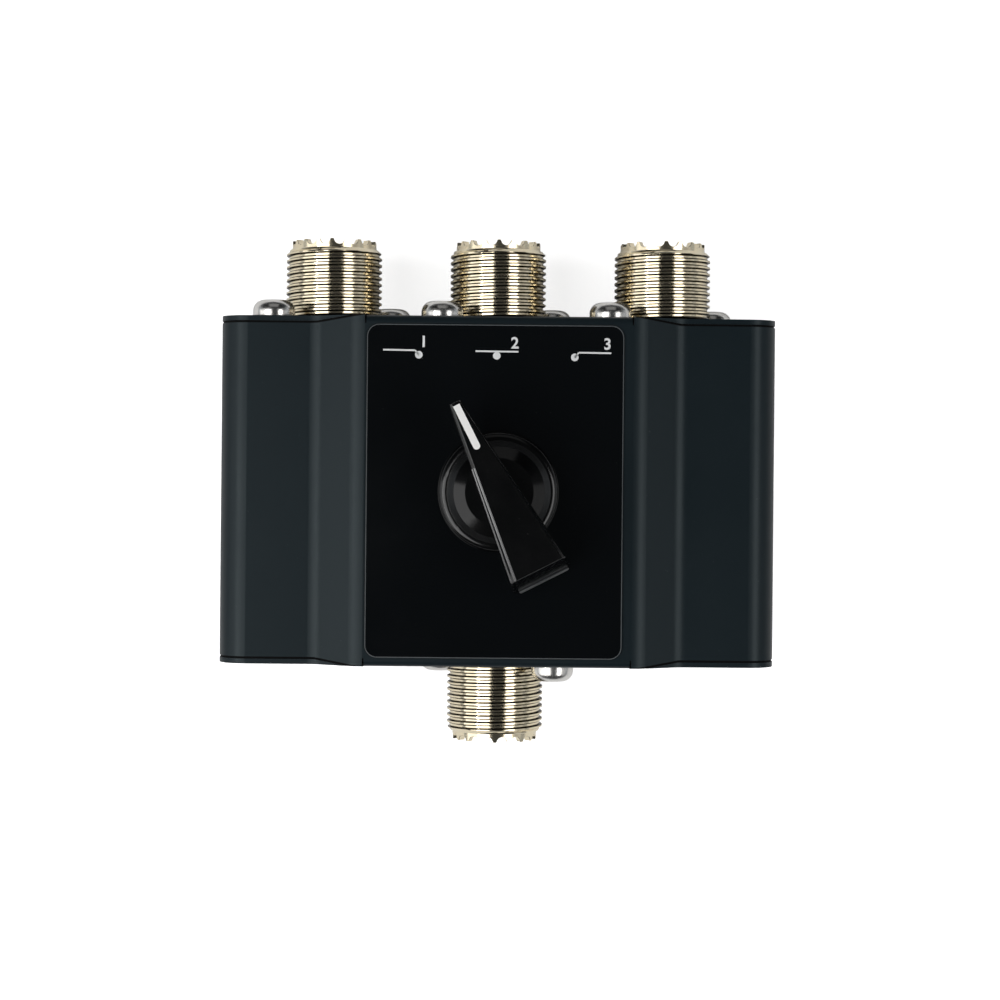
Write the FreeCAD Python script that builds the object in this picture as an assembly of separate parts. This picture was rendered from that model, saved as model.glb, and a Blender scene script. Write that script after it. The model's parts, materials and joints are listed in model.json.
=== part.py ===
import FreeCAD, Part
import math
import os

"""Three-way coaxial antenna switch: folded housing, four screw-on coaxial jacks and a rotary wafer switch.

Frame, in millimetres: origin at the centre of the underside, +X to the right, +Y towards the three
antenna jacks, +Z up through the raised panel. The knob points at the first antenna, on the -X side.
"""

V = FreeCAD.Vector
X_AXIS = V(1, 0, 0)
Y_AXIS = V(0, 1, 0)
Z_AXIS = V(0, 0, 1)

# ---------------------------------------------------------------- driving dimensions

# Housing: one folded sheet, open below, closed by a shallow tray
box_length = 55.6  # over the two end walls
panel_rise = 3.5  # raised panel above the wings
panel_foot_half = 29.1  # centre line to the foot of the slope beside the panel
panel_crest_half = 22.4  # centre line to the crest of that slope
shell_thickness = 0.8
corner_radius = 4.5  # outside, along the long top corners
crease_radius = 4.4  # inside, along the soft creases beside the panel
end_fold_radius = 0.3  # inside, where the panel folds down into an end wall
fold_slit = 0.35  # slit that parts the wings and sides from the end walls
fold_relief_width = 0.25  # notch at each end of the panel's fold
fold_relief_overlap = 0.1  # into the flat of the fold
fold_relief_extra = 0.2  # notch deeper than the fold's outer radius

# Tray that closes the underside
tray_thickness = 0.8
tray_flange_height = 9.0
tray_fold_radius = 0.6  # inside
tray_clearance = 0.15  # to the housing's walls

# Tray screws, two in each side wall
tray_screw_spacing = 34.0
tray_screw_height = 5.2
tray_screw_radius = 1.45
tray_screw_length = 6.0
tray_screw_head_radius = 2.8
tray_screw_head_height = 1.5
screw_hole_clearance = 0.15
thread_clearance = 0.05  # round a screw in its tapped hole
head_dome_share = 0.6  # of a screw head's height, taken up by its domed edge
head_dome_steps = 3

# Printed panel label
label_width = 40.7
label_length = 52.8
label_thickness = 0.3
label_corner_radius = 2.0
label_offset_x = -0.6

# Jacks for a 5/8 inch threaded plug, and the room that they need in the housing
jack_flange_gap = 1.8  # between neighbours' flanges
jack_side_room = 4.7  # outer flange to the outside of the side wall
jack_floor_room = 2.3  # underside to the flange
jack_head_room = 0.5  # flange to the inside of the wing
jack_reach = 13.2  # wall face to the tips of the rim's teeth
jack_thread_radius = 7.9
jack_neck_radius = 7.3  # plain neck between the flange and the thread
jack_neck_length = 0.6  # outside the housing's wall
jack_rim_radius = 6.95
jack_rim_height = 1.45  # tips of the teeth to the end of the thread
jack_tooth_count = 18
jack_tooth_valley_depth = 0.9
jack_thread_chamfer = 0.45
jack_bore_radius = 5.7
jack_bore_depth = 8.2  # tips of the teeth to the face of the insulator
jack_seat_depth = 1.0  # insulator's shoulder behind the front of the flange
jack_hole_clearance = 0.2  # round the thread in the housing's wall
jack_flange_size = 25.4
jack_flange_thickness = 2.0
jack_flange_corner = 1.5
jack_hub_radius = 6.3  # behind the flange
jack_hub_height = 2.0
jack_hub_bore_radius = 4.6

insulator_clearance = 0.05

contact_bore_radius = 2.0  # takes a 4 mm pin
contact_bore_depth = 10.0
contact_wall = 0.8
contact_slot_width = 0.5
contact_slot_length = 5.0
contact_floor = 0.8
contact_tail_radius = 1.6
contact_cup_radius = 0.9
contact_cup_floor = 1.5

# Jack screws and nuts, two on a diagonal of each flange
jack_screw_edge = 3.57  # screw to the flange's edge, both across and up
jack_screw_radius = 1.65
jack_screw_head_radius = 3.4
jack_screw_head_height = 2.8
jack_screw_end = 0.8  # beyond the nut
jack_nut_size = 6.0  # across flats
jack_nut_height = 2.4

# Rotary switch: threaded frame, shaft, detent and wafer
detent_step = 30.0  # degrees between antennas
switch_rest_angle = 30.0  # degrees from +Y towards -X, at the first antenna
frame_radius = 13.0
frame_thickness = 1.5
bush_radius = 4.5
bush_hole_clearance = 0.15
bush_nut_size = 12.0  # across flats
bush_nut_height = 2.0
bush_end = 1.0  # beyond its nut
lock_washer_radius = 8.0
lock_washer_thickness = 0.6
locating_tab_radius = 10.2  # switch axis to the tab's middle
locating_tab_width = 1.6
locating_tab_depth = 1.0
tie_radius = 10.4  # switch axis to each tie screw
tie_screw_radius = 1.45
tie_screw_head_radius = 2.6
tie_screw_head_height = 1.8
spacer_radius = 2.5
spacer_length = 7.1

shaft_radius = 3.0
shaft_clearance = 0.05
shaft_key_radius = 2.8  # lower end, with two flats
shaft_key_width = 4.0  # across those flats
shaft_collar_radius = 4.2
shaft_collar_height = 0.7
shaft_end = 1.2  # below the rotor
shaft_flat_depth = 0.6  # under the knob's grub screw
thrust_gap = 0.1
clip_radius = 4.3
clip_thickness = 0.5
clip_groove_radius = 2.4
clip_gap = 0.05
clip_mouth_share = 0.8  # of the groove's width, left open

wheel_radius = 7.2
wheel_thickness = 1.6
wheel_notches = 12
wheel_notch_radius = 1.3
wheel_notch_depth = 0.8
wheel_arm_reach = 9.6
wheel_arm_width = 2.6
wheel_gap = 0.15  # under the shaft's collar
stop_width = 2.4
stop_depth = 1.4
stop_gap = 0.2  # left between the arm and a stop at each end of the travel

spring_thickness = 0.35
spring_half_length = 10.2
spring_tip_radius = 0.9
spring_gap = 0.15  # spring's tip to the floor of a notch at rest
spring_set_back = 0.95  # tip's centre to the middle of the straight strip
spring_bump_spread = 0.4  # foot of the bump beyond its rounded tip
spring_bump_rise = 0.35  # corner that is rounded into the tip, above the strip's middle there
spring_post_x = 8.8
spring_post_width = 1.6
spring_post_depth = 2.6
spring_slot_clearance = 0.1

wafer_radius = 13.5
wafer_thickness = 1.5
rotor_radius = 5.9
rotor_clearance = 0.2
rotor_rise = 0.6  # rotor above the wafer, under the wiper
rotor_flange_radius = 7.4
rotor_flange_thickness = 0.9
wiper_ring_radius = 7.2
wiper_ring_bore = 3.2
wiper_thickness = 0.4
wiper_reach = 11.0
wiper_width = 2.4
fixed_contact_thickness = 0.4
fixed_contact_width = 2.6
fixed_contact_gap = 0.2  # above and below the wiper
antenna_jaw_radius = 8.6  # inner ends of the three antenna contacts
common_jaw_radius = 6.3  # inner end of the common contact, over the ring
fixed_contact_web_radius = 11.4
lug_radius = 14.9  # switch axis to the hole in a lug
lug_hole_radius = 0.75
lug_end = 1.2  # beyond its hole
rivet_radius = 0.8
rivet_head_radius = 1.4
rivet_head_height = 0.3
rivet_pitch_radius = 12.6
rivet_clearance = 0.05

lead_radius = 0.6
lead_bend = 1.3
lead_rise = 0.6  # above its lug
lead_cup_room = 1.1  # middle leads to the mouths of their cups
lead_end_gap = 1.0  # left at the bottom of a cup
lead_run_height = 19.4  # where the long leads leave the vertical
lead_stand_off = 3.2  # behind a cup, where a long lead turns into it

# Pointer knob
pointer_rest_angle = 27.0  # degrees from +Y towards -X
knob_gap = 0.6  # above the label
knob_height = 15.6
knob_skirt_radius = 9.5
knob_skirt_height = 2.3
knob_skirt_round = 1.2
knob_neck_radius = 8.15  # above the skirt
knob_wall_top_radius = 7.95
knob_wall_height = 8.5  # to the top of the near-upright wall
knob_shoulder_radius = 7.0
knob_shoulder_height = 9.4
knob_crown_radius = 5.25
knob_crown_height = 10.4
knob_crown_thickness = 1.0  # over the bore
pointer_tip_reach = 15.2
pointer_tip_half_width = 0.85
pointer_tail_reach = 13.0
pointer_tail_half_width = 4.5
pointer_tip_bevel = 0.25  # width of the bevel along each side of the top, at the tip
pointer_tail_bevel = 0.7  # and at the tail
pointer_bevel_fall = 1.2  # of the bevel's width
pointer_tail_slope = 2.4  # tail's foot beyond its top
pointer_draft = 0.15  # foot beyond top, each side
pointer_nose_slope = 0.9  # tip's foot behind its top
pointer_foot_height = 2.9
pointer_nose_lift = 2.6  # underside of the nose above that foot, at the tip
pointer_edge_round = 0.2
pointer_shoulder_round = 0.2  # below each bevel
pointer_heel_round = 0.25  # tail's foot
pointer_line_length = 7.4
pointer_line_tip_gap = 0.5
pointer_line_margin = 0.02  # to the rounded edge at the line's outer end
pointer_line_depth = 0.4
pointer_line_proud = 0.05
nut_recess_radius = 7.3
nut_recess_clearance = 0.5
clip_recess_radius = 5.0
clip_recess_clearance = 0.4
knob_insert_radius = 4.6
knob_insert_length = 6.0
knob_bore_clearance = 0.05
knob_bore_end = 0.4  # above the shaft's end
grub_screw_radius = 1.5
grub_screw_length = 4.4
grub_screw_hole_radius = 1.7  # through the knob's wall
grub_socket_size = 1.5  # across flats
grub_socket_depth = 1.6

cut_over = 1.0  # how far a cutting shape runs past what it cuts
same_place = 1e-4  # two edges nearer than this are at the same level

# ---------------------------------------------------------------- levels and places worked out from them

jack_spacing = jack_flange_size + jack_flange_gap
jack_axis_height = jack_floor_room + jack_flange_size / 2
jack_screw_offset = jack_flange_size / 2 - jack_screw_edge
wing_height = jack_axis_height + jack_flange_size / 2 + jack_head_room + shell_thickness
half_width = jack_spacing + jack_flange_size / 2 + jack_side_room
half_length = box_length / 2
wall_inner_y = half_length - shell_thickness
side_inner_x = half_width - shell_thickness
panel_top = wing_height + panel_rise
panel_underside = panel_top - shell_thickness
label_top = panel_top + label_thickness
end_fold_outer = end_fold_radius + shell_thickness

frame_top = panel_underside - lock_washer_thickness
frame_underside = frame_top - frame_thickness
bush_nut_top = label_top + bush_nut_height
bush_top = bush_nut_top + bush_end
collar_top = frame_underside - thrust_gap
collar_underside = collar_top - shaft_collar_height
wheel_top = collar_underside - wheel_gap
wheel_underside = wheel_top - wheel_thickness
wafer_top = frame_underside - spacer_length
wafer_underside = wafer_top - wafer_thickness
rotor_top = wafer_top + rotor_rise
wiper_top = rotor_top + wiper_thickness
rotor_underside = wafer_underside - rotor_clearance - rotor_flange_thickness
shaft_underside = rotor_underside - shaft_end

knob_underside = label_top + knob_gap
knob_bore_top = knob_crown_height - knob_crown_thickness
shaft_top = knob_underside + knob_bore_top - knob_bore_end

insulator_face = jack_reach + shell_thickness - jack_bore_depth
contact_back = insulator_face - contact_bore_depth - contact_floor
contact_radius = contact_bore_radius + contact_wall
contact_tail_end = lug_radius + lead_cup_room - wall_inner_y
contact_cup_depth = contact_back - contact_tail_end - contact_cup_floor
hub_back = -jack_flange_thickness - jack_hub_height

# Each jack: name, place along X, and the end wall it is on
jacks = [
    ("antenna_1", -jack_spacing, 1),
    ("antenna_2", 0.0, 1),
    ("antenna_3", jack_spacing, 1),
    ("radio", 0.0, -1),
]


# ---------------------------------------------------------------- shared operations


def cylinder(radius, start, end, centre=V(0, 0, 0), axis=Z_AXIS):
    """Round bar along axis between two distances from centre."""
    return Part.makeCylinder(radius, end - start, centre + axis * start, axis)


def tube(outer_radius, inner_radius, start, end, centre=V(0, 0, 0), axis=Z_AXIS):
    """Round tube along axis between two distances from centre."""
    outer = cylinder(outer_radius, start, end, centre, axis)
    return outer.cut(cylinder(inner_radius, start, end, centre, axis))


def block(x_range, y_range, z_range):
    """Box between two limits on each axis."""
    size = [high - low for low, high in (x_range, y_range, z_range)]
    return Part.makeBox(size[0], size[1], size[2], V(x_range[0], y_range[0], z_range[0]))


def prism(points, height_vector):
    """Closed polygon drawn out along a vector."""
    return Part.Face(Part.makePolygon(points + points[:1])).extrude(height_vector)


def hexagon(across_flats, z_low, z_high):
    """Upright hexagonal bar about Z."""
    corner = V(across_flats / math.sqrt(3), 0, z_low)
    corners = [FreeCAD.Rotation(Z_AXIS, angle).multVec(corner) for angle in range(0, 360, 60)]
    return prism(corners, Z_AXIS * (z_high - z_low))


def revolved(profile):
    """Solid of revolution about Z from (radius, height) points that start and end on the axis."""
    points = [V(radius, 0, height) for radius, height in profile]
    return Part.Face(Part.makePolygon(points + points[:1])).revolve(V(0, 0, 0), Z_AXIS, 360)


def rounded_path(points, radii):
    """Open wire of straight runs, with an arc of each radius at the corner between them."""
    edges = []
    start = points[0]
    for before, corner, after, radius in zip(points, points[1:], points[2:], radii):
        arrive = (corner - before).normalize()
        leave = (after - corner).normalize()
        turn = arrive.getAngle(leave)
        reach = radius * math.tan(turn / 2)
        arc_start = corner - arrive * reach
        arc_end = corner + leave * reach
        towards_centre = (leave - arrive).normalize()
        middle = corner + towards_centre * (radius / math.cos(turn / 2) - radius)
        if (arc_start - start).Length > same_place:
            edges.append(Part.LineSegment(start, arc_start).toShape())
        edges.append(Part.Arc(arc_start, middle, arc_end).toShape())
        start = arc_end
    edges.append(Part.LineSegment(start, points[-1]).toShape())
    return Part.Wire(edges)


def turned(shape, degrees):
    """Shape turned about Z, from +Y towards -X."""
    copy = shape.copy()
    copy.rotate(V(0, 0, 0), Z_AXIS, degrees)
    return copy


def moved(shape, offset):
    """Shape carried along a vector."""
    copy = shape.copy()
    copy.translate(offset)
    return copy


def pan_head(radius, height, start):
    """Screw head along +Z, its edge domed in a few steps."""
    dome = height * head_dome_share
    profile = [(0, start), (radius, start)]
    for step in range(head_dome_steps + 1):
        angle = math.radians(90 * step / head_dome_steps)
        profile.append((radius - dome * (1 - math.cos(angle)), start + height - dome * (1 - math.sin(angle))))
    return revolved(profile + [(0, start + height)])


def save(name, *solids):
    """Write one node, as a single solid or as a group of separate ones."""
    shape = solids[0] if len(solids) == 1 else Part.makeCompound(list(solids))
    shape.exportStep(f"parts/{name}.step")


# ---------------------------------------------------------------- housing


def housing_outline(lowest):
    """Outer line of the housing across its width, from one side wall's foot to the other's."""
    points = [
        V(-half_width, 0, lowest),
        V(-half_width, 0, wing_height),
        V(-panel_foot_half, 0, wing_height),
        V(-panel_crest_half, 0, panel_top),
        V(panel_crest_half, 0, panel_top),
        V(panel_foot_half, 0, wing_height),
        V(half_width, 0, wing_height),
        V(half_width, 0, lowest),
    ]
    crest_radius = crease_radius + shell_thickness
    radii = [corner_radius, crease_radius, crest_radius, crest_radius, crease_radius, corner_radius]
    return rounded_path(points, radii)


def crest_flat_half():
    """Centre line to where the panel's flat top starts to curve into the slope."""
    slope = math.atan2(panel_rise, panel_foot_half - panel_crest_half)
    return panel_crest_half - (crease_radius + shell_thickness) * math.tan(slope / 2)


def housing():
    outline = housing_outline(0)
    band = outline.makeOffset2D(-shell_thickness, fill=True, openResult=True)
    band = moved(band.extrude(Y_AXIS * box_length), V(0, -half_length, 0))
    foot = Part.LineSegment(V(half_width, 0, 0), V(-half_width, 0, 0)).toShape()
    end_plate = Part.Face(Part.Wire(outline.Edges + [foot])).extrude(Y_AXIS * shell_thickness)
    body = band
    for wall_y in (wall_inner_y, -half_length):
        body = body.fuse(moved(end_plate, V(0, wall_y, 0)))

    # Slits: straight along the sides and wings, slanting out across each slope
    slit_inner_y = wall_inner_y - fold_slit
    relief_start = crest_flat_half() - fold_relief_overlap
    relief_end = relief_start + fold_relief_width
    relief_depth = end_fold_outer + fold_relief_extra
    for side in (-1, 1):
        for end in (-1, 1):
            across = sorted((side * panel_foot_half, side * (half_width + cut_over)))
            along = sorted((end * slit_inner_y, end * wall_inner_y))
            body = body.cut(block(across, along, (-cut_over, panel_top)))
            slanted = [
                V(side * panel_foot_half, end * slit_inner_y, 0),
                V(side * panel_foot_half, end * wall_inner_y, 0),
                V(side * relief_end, end * (half_length + fold_slit), 0),
                V(side * relief_end, end * half_length, 0),
            ]
            body = body.cut(prism(slanted, Z_AXIS * (panel_top + cut_over)).common(band))
            notch_x = sorted((side * relief_start, side * relief_end))
            notch_y = sorted((end * (half_length - relief_depth), end * (half_length + cut_over)))
            body = body.cut(block(notch_x, notch_y, (panel_top - relief_depth, panel_top + cut_over)))

    # The panel's two folds, rounded outside and inside
    def fold_edges(shape, y, z):
        return [
            e
            for e in shape.Edges
            if abs(e.BoundBox.YMin - y) + abs(e.BoundBox.YMax - y) < same_place
            and abs(e.BoundBox.ZMin - z) + abs(e.BoundBox.ZMax - z) < same_place
            and e.BoundBox.XLength > panel_crest_half
        ]

    body = body.removeSplitter()
    for end in (-1, 1):
        body = body.makeFillet(end_fold_outer, fold_edges(body, end * half_length, panel_top))
        body = body.makeFillet(end_fold_radius, fold_edges(body, end * wall_inner_y, panel_underside))

    body = body.cut(cylinder(bush_radius + bush_hole_clearance, wing_height, panel_top + cut_over))
    body = body.cut(locating_tab(bush_hole_clearance, panel_top + cut_over))
    through_end_wall = (wall_inner_y - cut_over, half_length + cut_over)
    for _, jack_x, end in jacks:
        axis = Y_AXIS * end
        centre = V(jack_x, 0, jack_axis_height)
        body = body.cut(cylinder(jack_thread_radius + jack_hole_clearance, *through_end_wall, centre, axis))
        for screw in jack_screw_places(end):
            radius = jack_screw_radius + screw_hole_clearance
            body = body.cut(cylinder(radius, *through_end_wall, centre + screw, axis))
    through_side_wall = (side_inner_x - cut_over, half_width + cut_over)
    for place in tray_screw_places():
        body = body.cut(cylinder(tray_screw_radius + screw_hole_clearance, *through_side_wall, *place))
    return body


def tray():
    reach = side_inner_x - tray_clearance
    places = ((-reach, tray_flange_height), (-reach, 0), (reach, 0), (reach, tray_flange_height))
    points = [V(x, 0, z) for x, z in places]
    fold = tray_fold_radius + tray_thickness
    channel = rounded_path(points, [fold, fold]).makeOffset2D(tray_thickness, fill=True, openResult=True)
    length = 2 * (wall_inner_y - tray_clearance)
    body = moved(channel.extrude(Y_AXIS * length), V(0, -length / 2, 0))
    through_flange = (reach - tray_thickness - cut_over, reach + cut_over)
    for place in tray_screw_places():
        body = body.cut(cylinder(tray_screw_radius + thread_clearance, *through_flange, *place))
    return body


def tray_screw_places():
    """Centre and outward axis of each tray screw."""
    places = []
    for side in (-1, 1):
        for end in (-1, 1):
            centre = V(0, end * tray_screw_spacing / 2, tray_screw_height)
            places.append((centre, X_AXIS * side))
    return places


def screw_along(axis, centre, seat, head_radius, head_height, shank_radius, shank_length):
    """Pan-head screw whose head sits at a distance along axis and whose shank runs back from it."""
    screw = pan_head(head_radius, head_height, seat).fuse(cylinder(shank_radius, seat - shank_length, seat))
    screw.Placement = FreeCAD.Placement(centre, FreeCAD.Rotation(Z_AXIS, axis))
    return screw


def tray_screws():
    screws = []
    for centre, axis in tray_screw_places():
        head = (tray_screw_head_radius, tray_screw_head_height)
        screws.append(screw_along(axis, centre, half_width, *head, tray_screw_radius, tray_screw_length))
    return screws


def label():
    across = (label_offset_x - label_width / 2, label_offset_x + label_width / 2)
    sheet = block(across, (-label_length / 2, label_length / 2), (panel_top, label_top))
    upright = [e for e in sheet.Edges if e.BoundBox.ZLength > label_thickness / 2]
    sheet = sheet.makeFillet(label_corner_radius, upright)
    return sheet.cut(cylinder(bush_radius + bush_hole_clearance, wing_height, label_top + cut_over))


# ---------------------------------------------------------------- jacks, each built along +Z from its flange


def jack_screw_places(end):
    """Offsets of a jack's two screws from its axis, the high one first."""
    high = V(-end * jack_screw_offset, 0, jack_screw_offset)
    return [high, high * -1]


def jack_placement(jack_x, end):
    """Places a shape built along +Z on its end wall, with its local +Y up."""
    across = X_AXIS * -end
    rotation = FreeCAD.Rotation(across, Z_AXIS, Y_AXIS * end, "XYZ")
    return FreeCAD.Placement(V(jack_x, end * wall_inner_y, jack_axis_height), rotation)


def jack_shell():
    tip = shell_thickness + jack_reach
    thread_end = tip - jack_rim_height
    body = cylinder(jack_thread_radius, shell_thickness + jack_neck_length, thread_end)
    end_edge = [e for e in body.Edges if e.Closed and abs(e.BoundBox.ZMin - thread_end) < same_place]
    body = body.makeChamfer(jack_thread_chamfer, end_edge)
    body = body.fuse(cylinder(jack_neck_radius, -jack_flange_thickness, thread_end))
    body = body.fuse(cylinder(jack_rim_radius, 0, tip))
    body = body.fuse(cylinder(jack_hub_radius, hub_back, 0))
    half = jack_flange_size / 2
    flange = block((-half, half), (-half, half), (-jack_flange_thickness, 0))
    upright = [e for e in flange.Edges if e.BoundBox.ZLength > jack_flange_thickness / 2]
    body = body.fuse(flange.makeFillet(jack_flange_corner, upright))
    body = body.cut(cylinder(jack_bore_radius, -jack_seat_depth, tip + cut_over))
    body = body.cut(cylinder(jack_hub_bore_radius, hub_back - cut_over, 0))
    through_flange = (-jack_flange_thickness - cut_over, cut_over)
    for x in (-jack_screw_offset, jack_screw_offset):
        for y in (-jack_screw_offset, jack_screw_offset):
            body = body.cut(cylinder(jack_screw_radius + screw_hole_clearance, *through_flange, V(x, y, 0)))
    # Teeth: valleys cut across the rim
    inner_x = jack_bore_radius - cut_over
    valley = [
        V(inner_x, 0, tip - jack_tooth_valley_depth),
        V(inner_x, jack_tooth_valley_depth + cut_over, tip + cut_over),
        V(inner_x, -jack_tooth_valley_depth - cut_over, tip + cut_over),
    ]
    valley = prism(valley, X_AXIS * jack_rim_radius)
    for index in range(jack_tooth_count):
        body = body.cut(turned(valley, index * 360 / jack_tooth_count))
    return body.removeSplitter()


def jack_insulator():
    front = cylinder(jack_bore_radius - insulator_clearance, -jack_seat_depth, insulator_face)
    rear = cylinder(jack_hub_bore_radius - insulator_clearance, hub_back, 0)
    bore = cylinder(contact_radius + insulator_clearance, hub_back - cut_over, insulator_face + cut_over)
    return front.fuse(rear).cut(bore)


def jack_contact():
    body = cylinder(contact_radius, contact_back, insulator_face)
    body = body.fuse(cylinder(contact_tail_radius, contact_tail_end, contact_back))
    bore = cylinder(contact_bore_radius, insulator_face - contact_bore_depth, insulator_face + cut_over)
    cup = cylinder(contact_cup_radius, contact_tail_end - cut_over, contact_tail_end + contact_cup_depth)
    body = body.cut(bore).cut(cup)
    narrow = (-contact_slot_width / 2, contact_slot_width / 2)
    wide = (-contact_radius, contact_radius)
    slot_levels = (insulator_face - contact_slot_length, insulator_face + cut_over)
    body = body.cut(block(narrow, wide, slot_levels))
    return body.cut(block(wide, narrow, slot_levels))


def jack_nut():
    """Hexagon nut behind a flange, about the screw's axis."""
    back = -jack_flange_thickness - jack_nut_height
    nut = hexagon(jack_nut_size, back, -jack_flange_thickness)
    return nut.cut(cylinder(jack_screw_radius + thread_clearance, back - cut_over, 0))


def save_jacks():
    shell = jack_shell()
    insulator = jack_insulator()
    contact = jack_contact()
    nut = jack_nut()
    shank = shell_thickness + jack_flange_thickness + jack_nut_height + jack_screw_end
    screws = []
    nuts = []
    for name, jack_x, end in jacks:
        placement = jack_placement(jack_x, end)
        for part_name, shape in (("shell", shell), ("insulator", insulator), ("contact", contact)):
            placed = shape.copy()
            placed.Placement = placement
            save(f"{name}_jack_{part_name}", placed)
        for offset in jack_screw_places(end):
            centre = V(jack_x, 0, jack_axis_height) + offset
            head = (jack_screw_head_radius, jack_screw_head_height)
            screws.append(screw_along(Y_AXIS * end, centre, half_length, *head, jack_screw_radius, shank))
            placed = nut.copy()
            placed.Placement = FreeCAD.Placement(placement.Base + offset, placement.Rotation)
            nuts.append(placed)
    save("jack_screws", *screws)
    save("jack_nuts", *nuts)


# ---------------------------------------------------------------- rotary switch


def locating_tab(clearance, top):
    """Upright tab beside the bush that keys the frame into the panel."""
    half = locating_tab_width / 2 + clearance
    depth = locating_tab_depth / 2 + clearance
    middle = locating_tab_radius
    return block((-half, half), (middle - depth, middle + depth), (frame_underside, top))


def switch_frame():
    body = cylinder(frame_radius, frame_underside, frame_top)
    body = body.fuse(cylinder(bush_radius, frame_underside, bush_top))
    body = body.fuse(locating_tab(0, panel_top))
    stop_radial = (wheel_arm_reach - stop_depth, wheel_arm_reach)
    stop = block((-stop_width / 2, stop_width / 2), stop_radial, (wheel_underside, frame_underside))
    for angle in stop_angles():
        body = body.fuse(turned(stop, angle))
    strip_y = -spring_line()
    post_half = spring_post_width / 2
    slot_half = spring_thickness / 2 + spring_slot_clearance
    slot_top = wheel_top + spring_slot_clearance
    for post_x in (-spring_post_x, spring_post_x):
        along = (strip_y - spring_post_depth / 2, strip_y + spring_post_depth / 2)
        post = block((post_x - post_half, post_x + post_half), along, (wheel_underside, frame_underside))
        slot_x = (post_x - post_half - cut_over, post_x + post_half + cut_over)
        post = post.cut(block(slot_x, (strip_y - slot_half, strip_y + slot_half), (wafer_top, slot_top)))
        body = body.fuse(post)
    body = body.cut(cylinder(shaft_radius + shaft_clearance, frame_underside - cut_over, bush_top + cut_over))
    through_plate = (frame_underside - cut_over, frame_top + cut_over)
    for tie in tie_places():
        body = body.cut(cylinder(tie_screw_radius + thread_clearance, *through_plate, tie))
    return body


def stop_angles():
    """Where the two stops stand, just clear of the index wheel's arm at each end of its travel."""
    middle = wheel_arm_reach - stop_depth
    spread = math.degrees((wheel_arm_width / 2 + stop_width / 2 + stop_gap) / middle)
    return [switch_rest_angle + spread, switch_rest_angle - 2 * detent_step - spread]


def tie_places():
    return [V(-tie_radius, 0, 0), V(tie_radius, 0, 0)]


def spring_line():
    """Distance from the switch's axis to the middle of the straight part of the detent spring."""
    notch_floor = wheel_radius - wheel_notch_depth
    return notch_floor + spring_gap + spring_tip_radius + spring_set_back


def lock_washer():
    return tube(lock_washer_radius, bush_radius + bush_hole_clearance, frame_top, panel_underside)


def bush_nut():
    nut = hexagon(bush_nut_size, label_top, bush_nut_top)
    return nut.cut(cylinder(bush_radius + thread_clearance, label_top - cut_over, bush_nut_top + cut_over))


def double_flat(clearance, z_low, z_high):
    """The shaft's lower end: a round bar with two flats."""
    radius = shaft_key_radius + clearance
    half = shaft_key_width / 2 + clearance
    return cylinder(radius, z_low, z_high).common(block((-half, half), (-radius, radius), (z_low, z_high)))


def shaft():
    body = cylinder(shaft_radius, collar_underside, shaft_top)
    body = body.fuse(cylinder(shaft_collar_radius, collar_underside, collar_top))
    groove_levels = (clip_bottom() - clip_gap, clip_bottom() + clip_thickness + clip_gap)
    body = body.cut(tube(shaft_radius + cut_over, clip_groove_radius, *groove_levels))
    flat_x = (shaft_radius - shaft_flat_depth, shaft_radius + cut_over)
    flat_bottom = knob_underside + knob_bore_top - knob_insert_length
    flat = block(flat_x, (-shaft_radius, shaft_radius), (flat_bottom, shaft_top + cut_over))
    body = body.cut(turned(flat, pointer_rest_angle))
    key = double_flat(0, shaft_underside, collar_underside)
    return body.fuse(turned(key, switch_rest_angle))


def clip_bottom():
    return bush_top + clip_gap


def shaft_clip():
    """Open ring snapped into the shaft's groove above the bush."""
    clip_top = clip_bottom() + clip_thickness
    ring = tube(clip_radius, clip_groove_radius + shaft_clearance, clip_bottom(), clip_top)
    mouth_half = clip_groove_radius * clip_mouth_share
    mouth_levels = (clip_bottom() - cut_over, clip_top + cut_over)
    mouth = block((-mouth_half, mouth_half), (0, clip_radius + cut_over), mouth_levels)
    return turned(ring.cut(mouth), switch_rest_angle)


def index_wheel():
    """Twelve-notch wheel with the arm that meets the stops."""
    body = cylinder(wheel_radius, wheel_underside, wheel_top)
    arm_half = wheel_arm_width / 2
    body = body.fuse(block((-arm_half, arm_half), (0, wheel_arm_reach), (wheel_underside, wheel_top)))
    notch_centre = wheel_radius - wheel_notch_depth + wheel_notch_radius
    levels = (wheel_underside - cut_over, wheel_top + cut_over)
    body = body.cut(double_flat(shaft_clearance, *levels))
    notch = cylinder(wheel_notch_radius, *levels, V(0, notch_centre, 0))
    for index in range(1, wheel_notches):
        body = body.cut(turned(notch, index * 360 / wheel_notches))
    return turned(body, switch_rest_angle)


def detent_spring():
    """Leaf strip with a bump that drops into the wheel's notches."""
    line_y = -spring_line()
    tip_y = line_y + spring_set_back + spring_tip_radius - spring_thickness / 2
    shoulder_x = spring_set_back + spring_tip_radius + spring_bump_spread
    points = [
        V(-spring_half_length, line_y, wheel_underside),
        V(-shoulder_x, line_y, wheel_underside),
        V(0, tip_y + spring_bump_rise, wheel_underside),
        V(shoulder_x, line_y, wheel_underside),
        V(spring_half_length, line_y, wheel_underside),
    ]
    strip = rounded_path(points, [spring_tip_radius] * 3)
    half = strip.makeOffset2D(spring_thickness / 2, fill=True, openResult=True)
    other = strip.makeOffset2D(-spring_thickness / 2, fill=True, openResult=True)
    rise = Z_AXIS * wheel_thickness
    return half.extrude(rise).fuse(other.extrude(rise)).removeSplitter()


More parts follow.
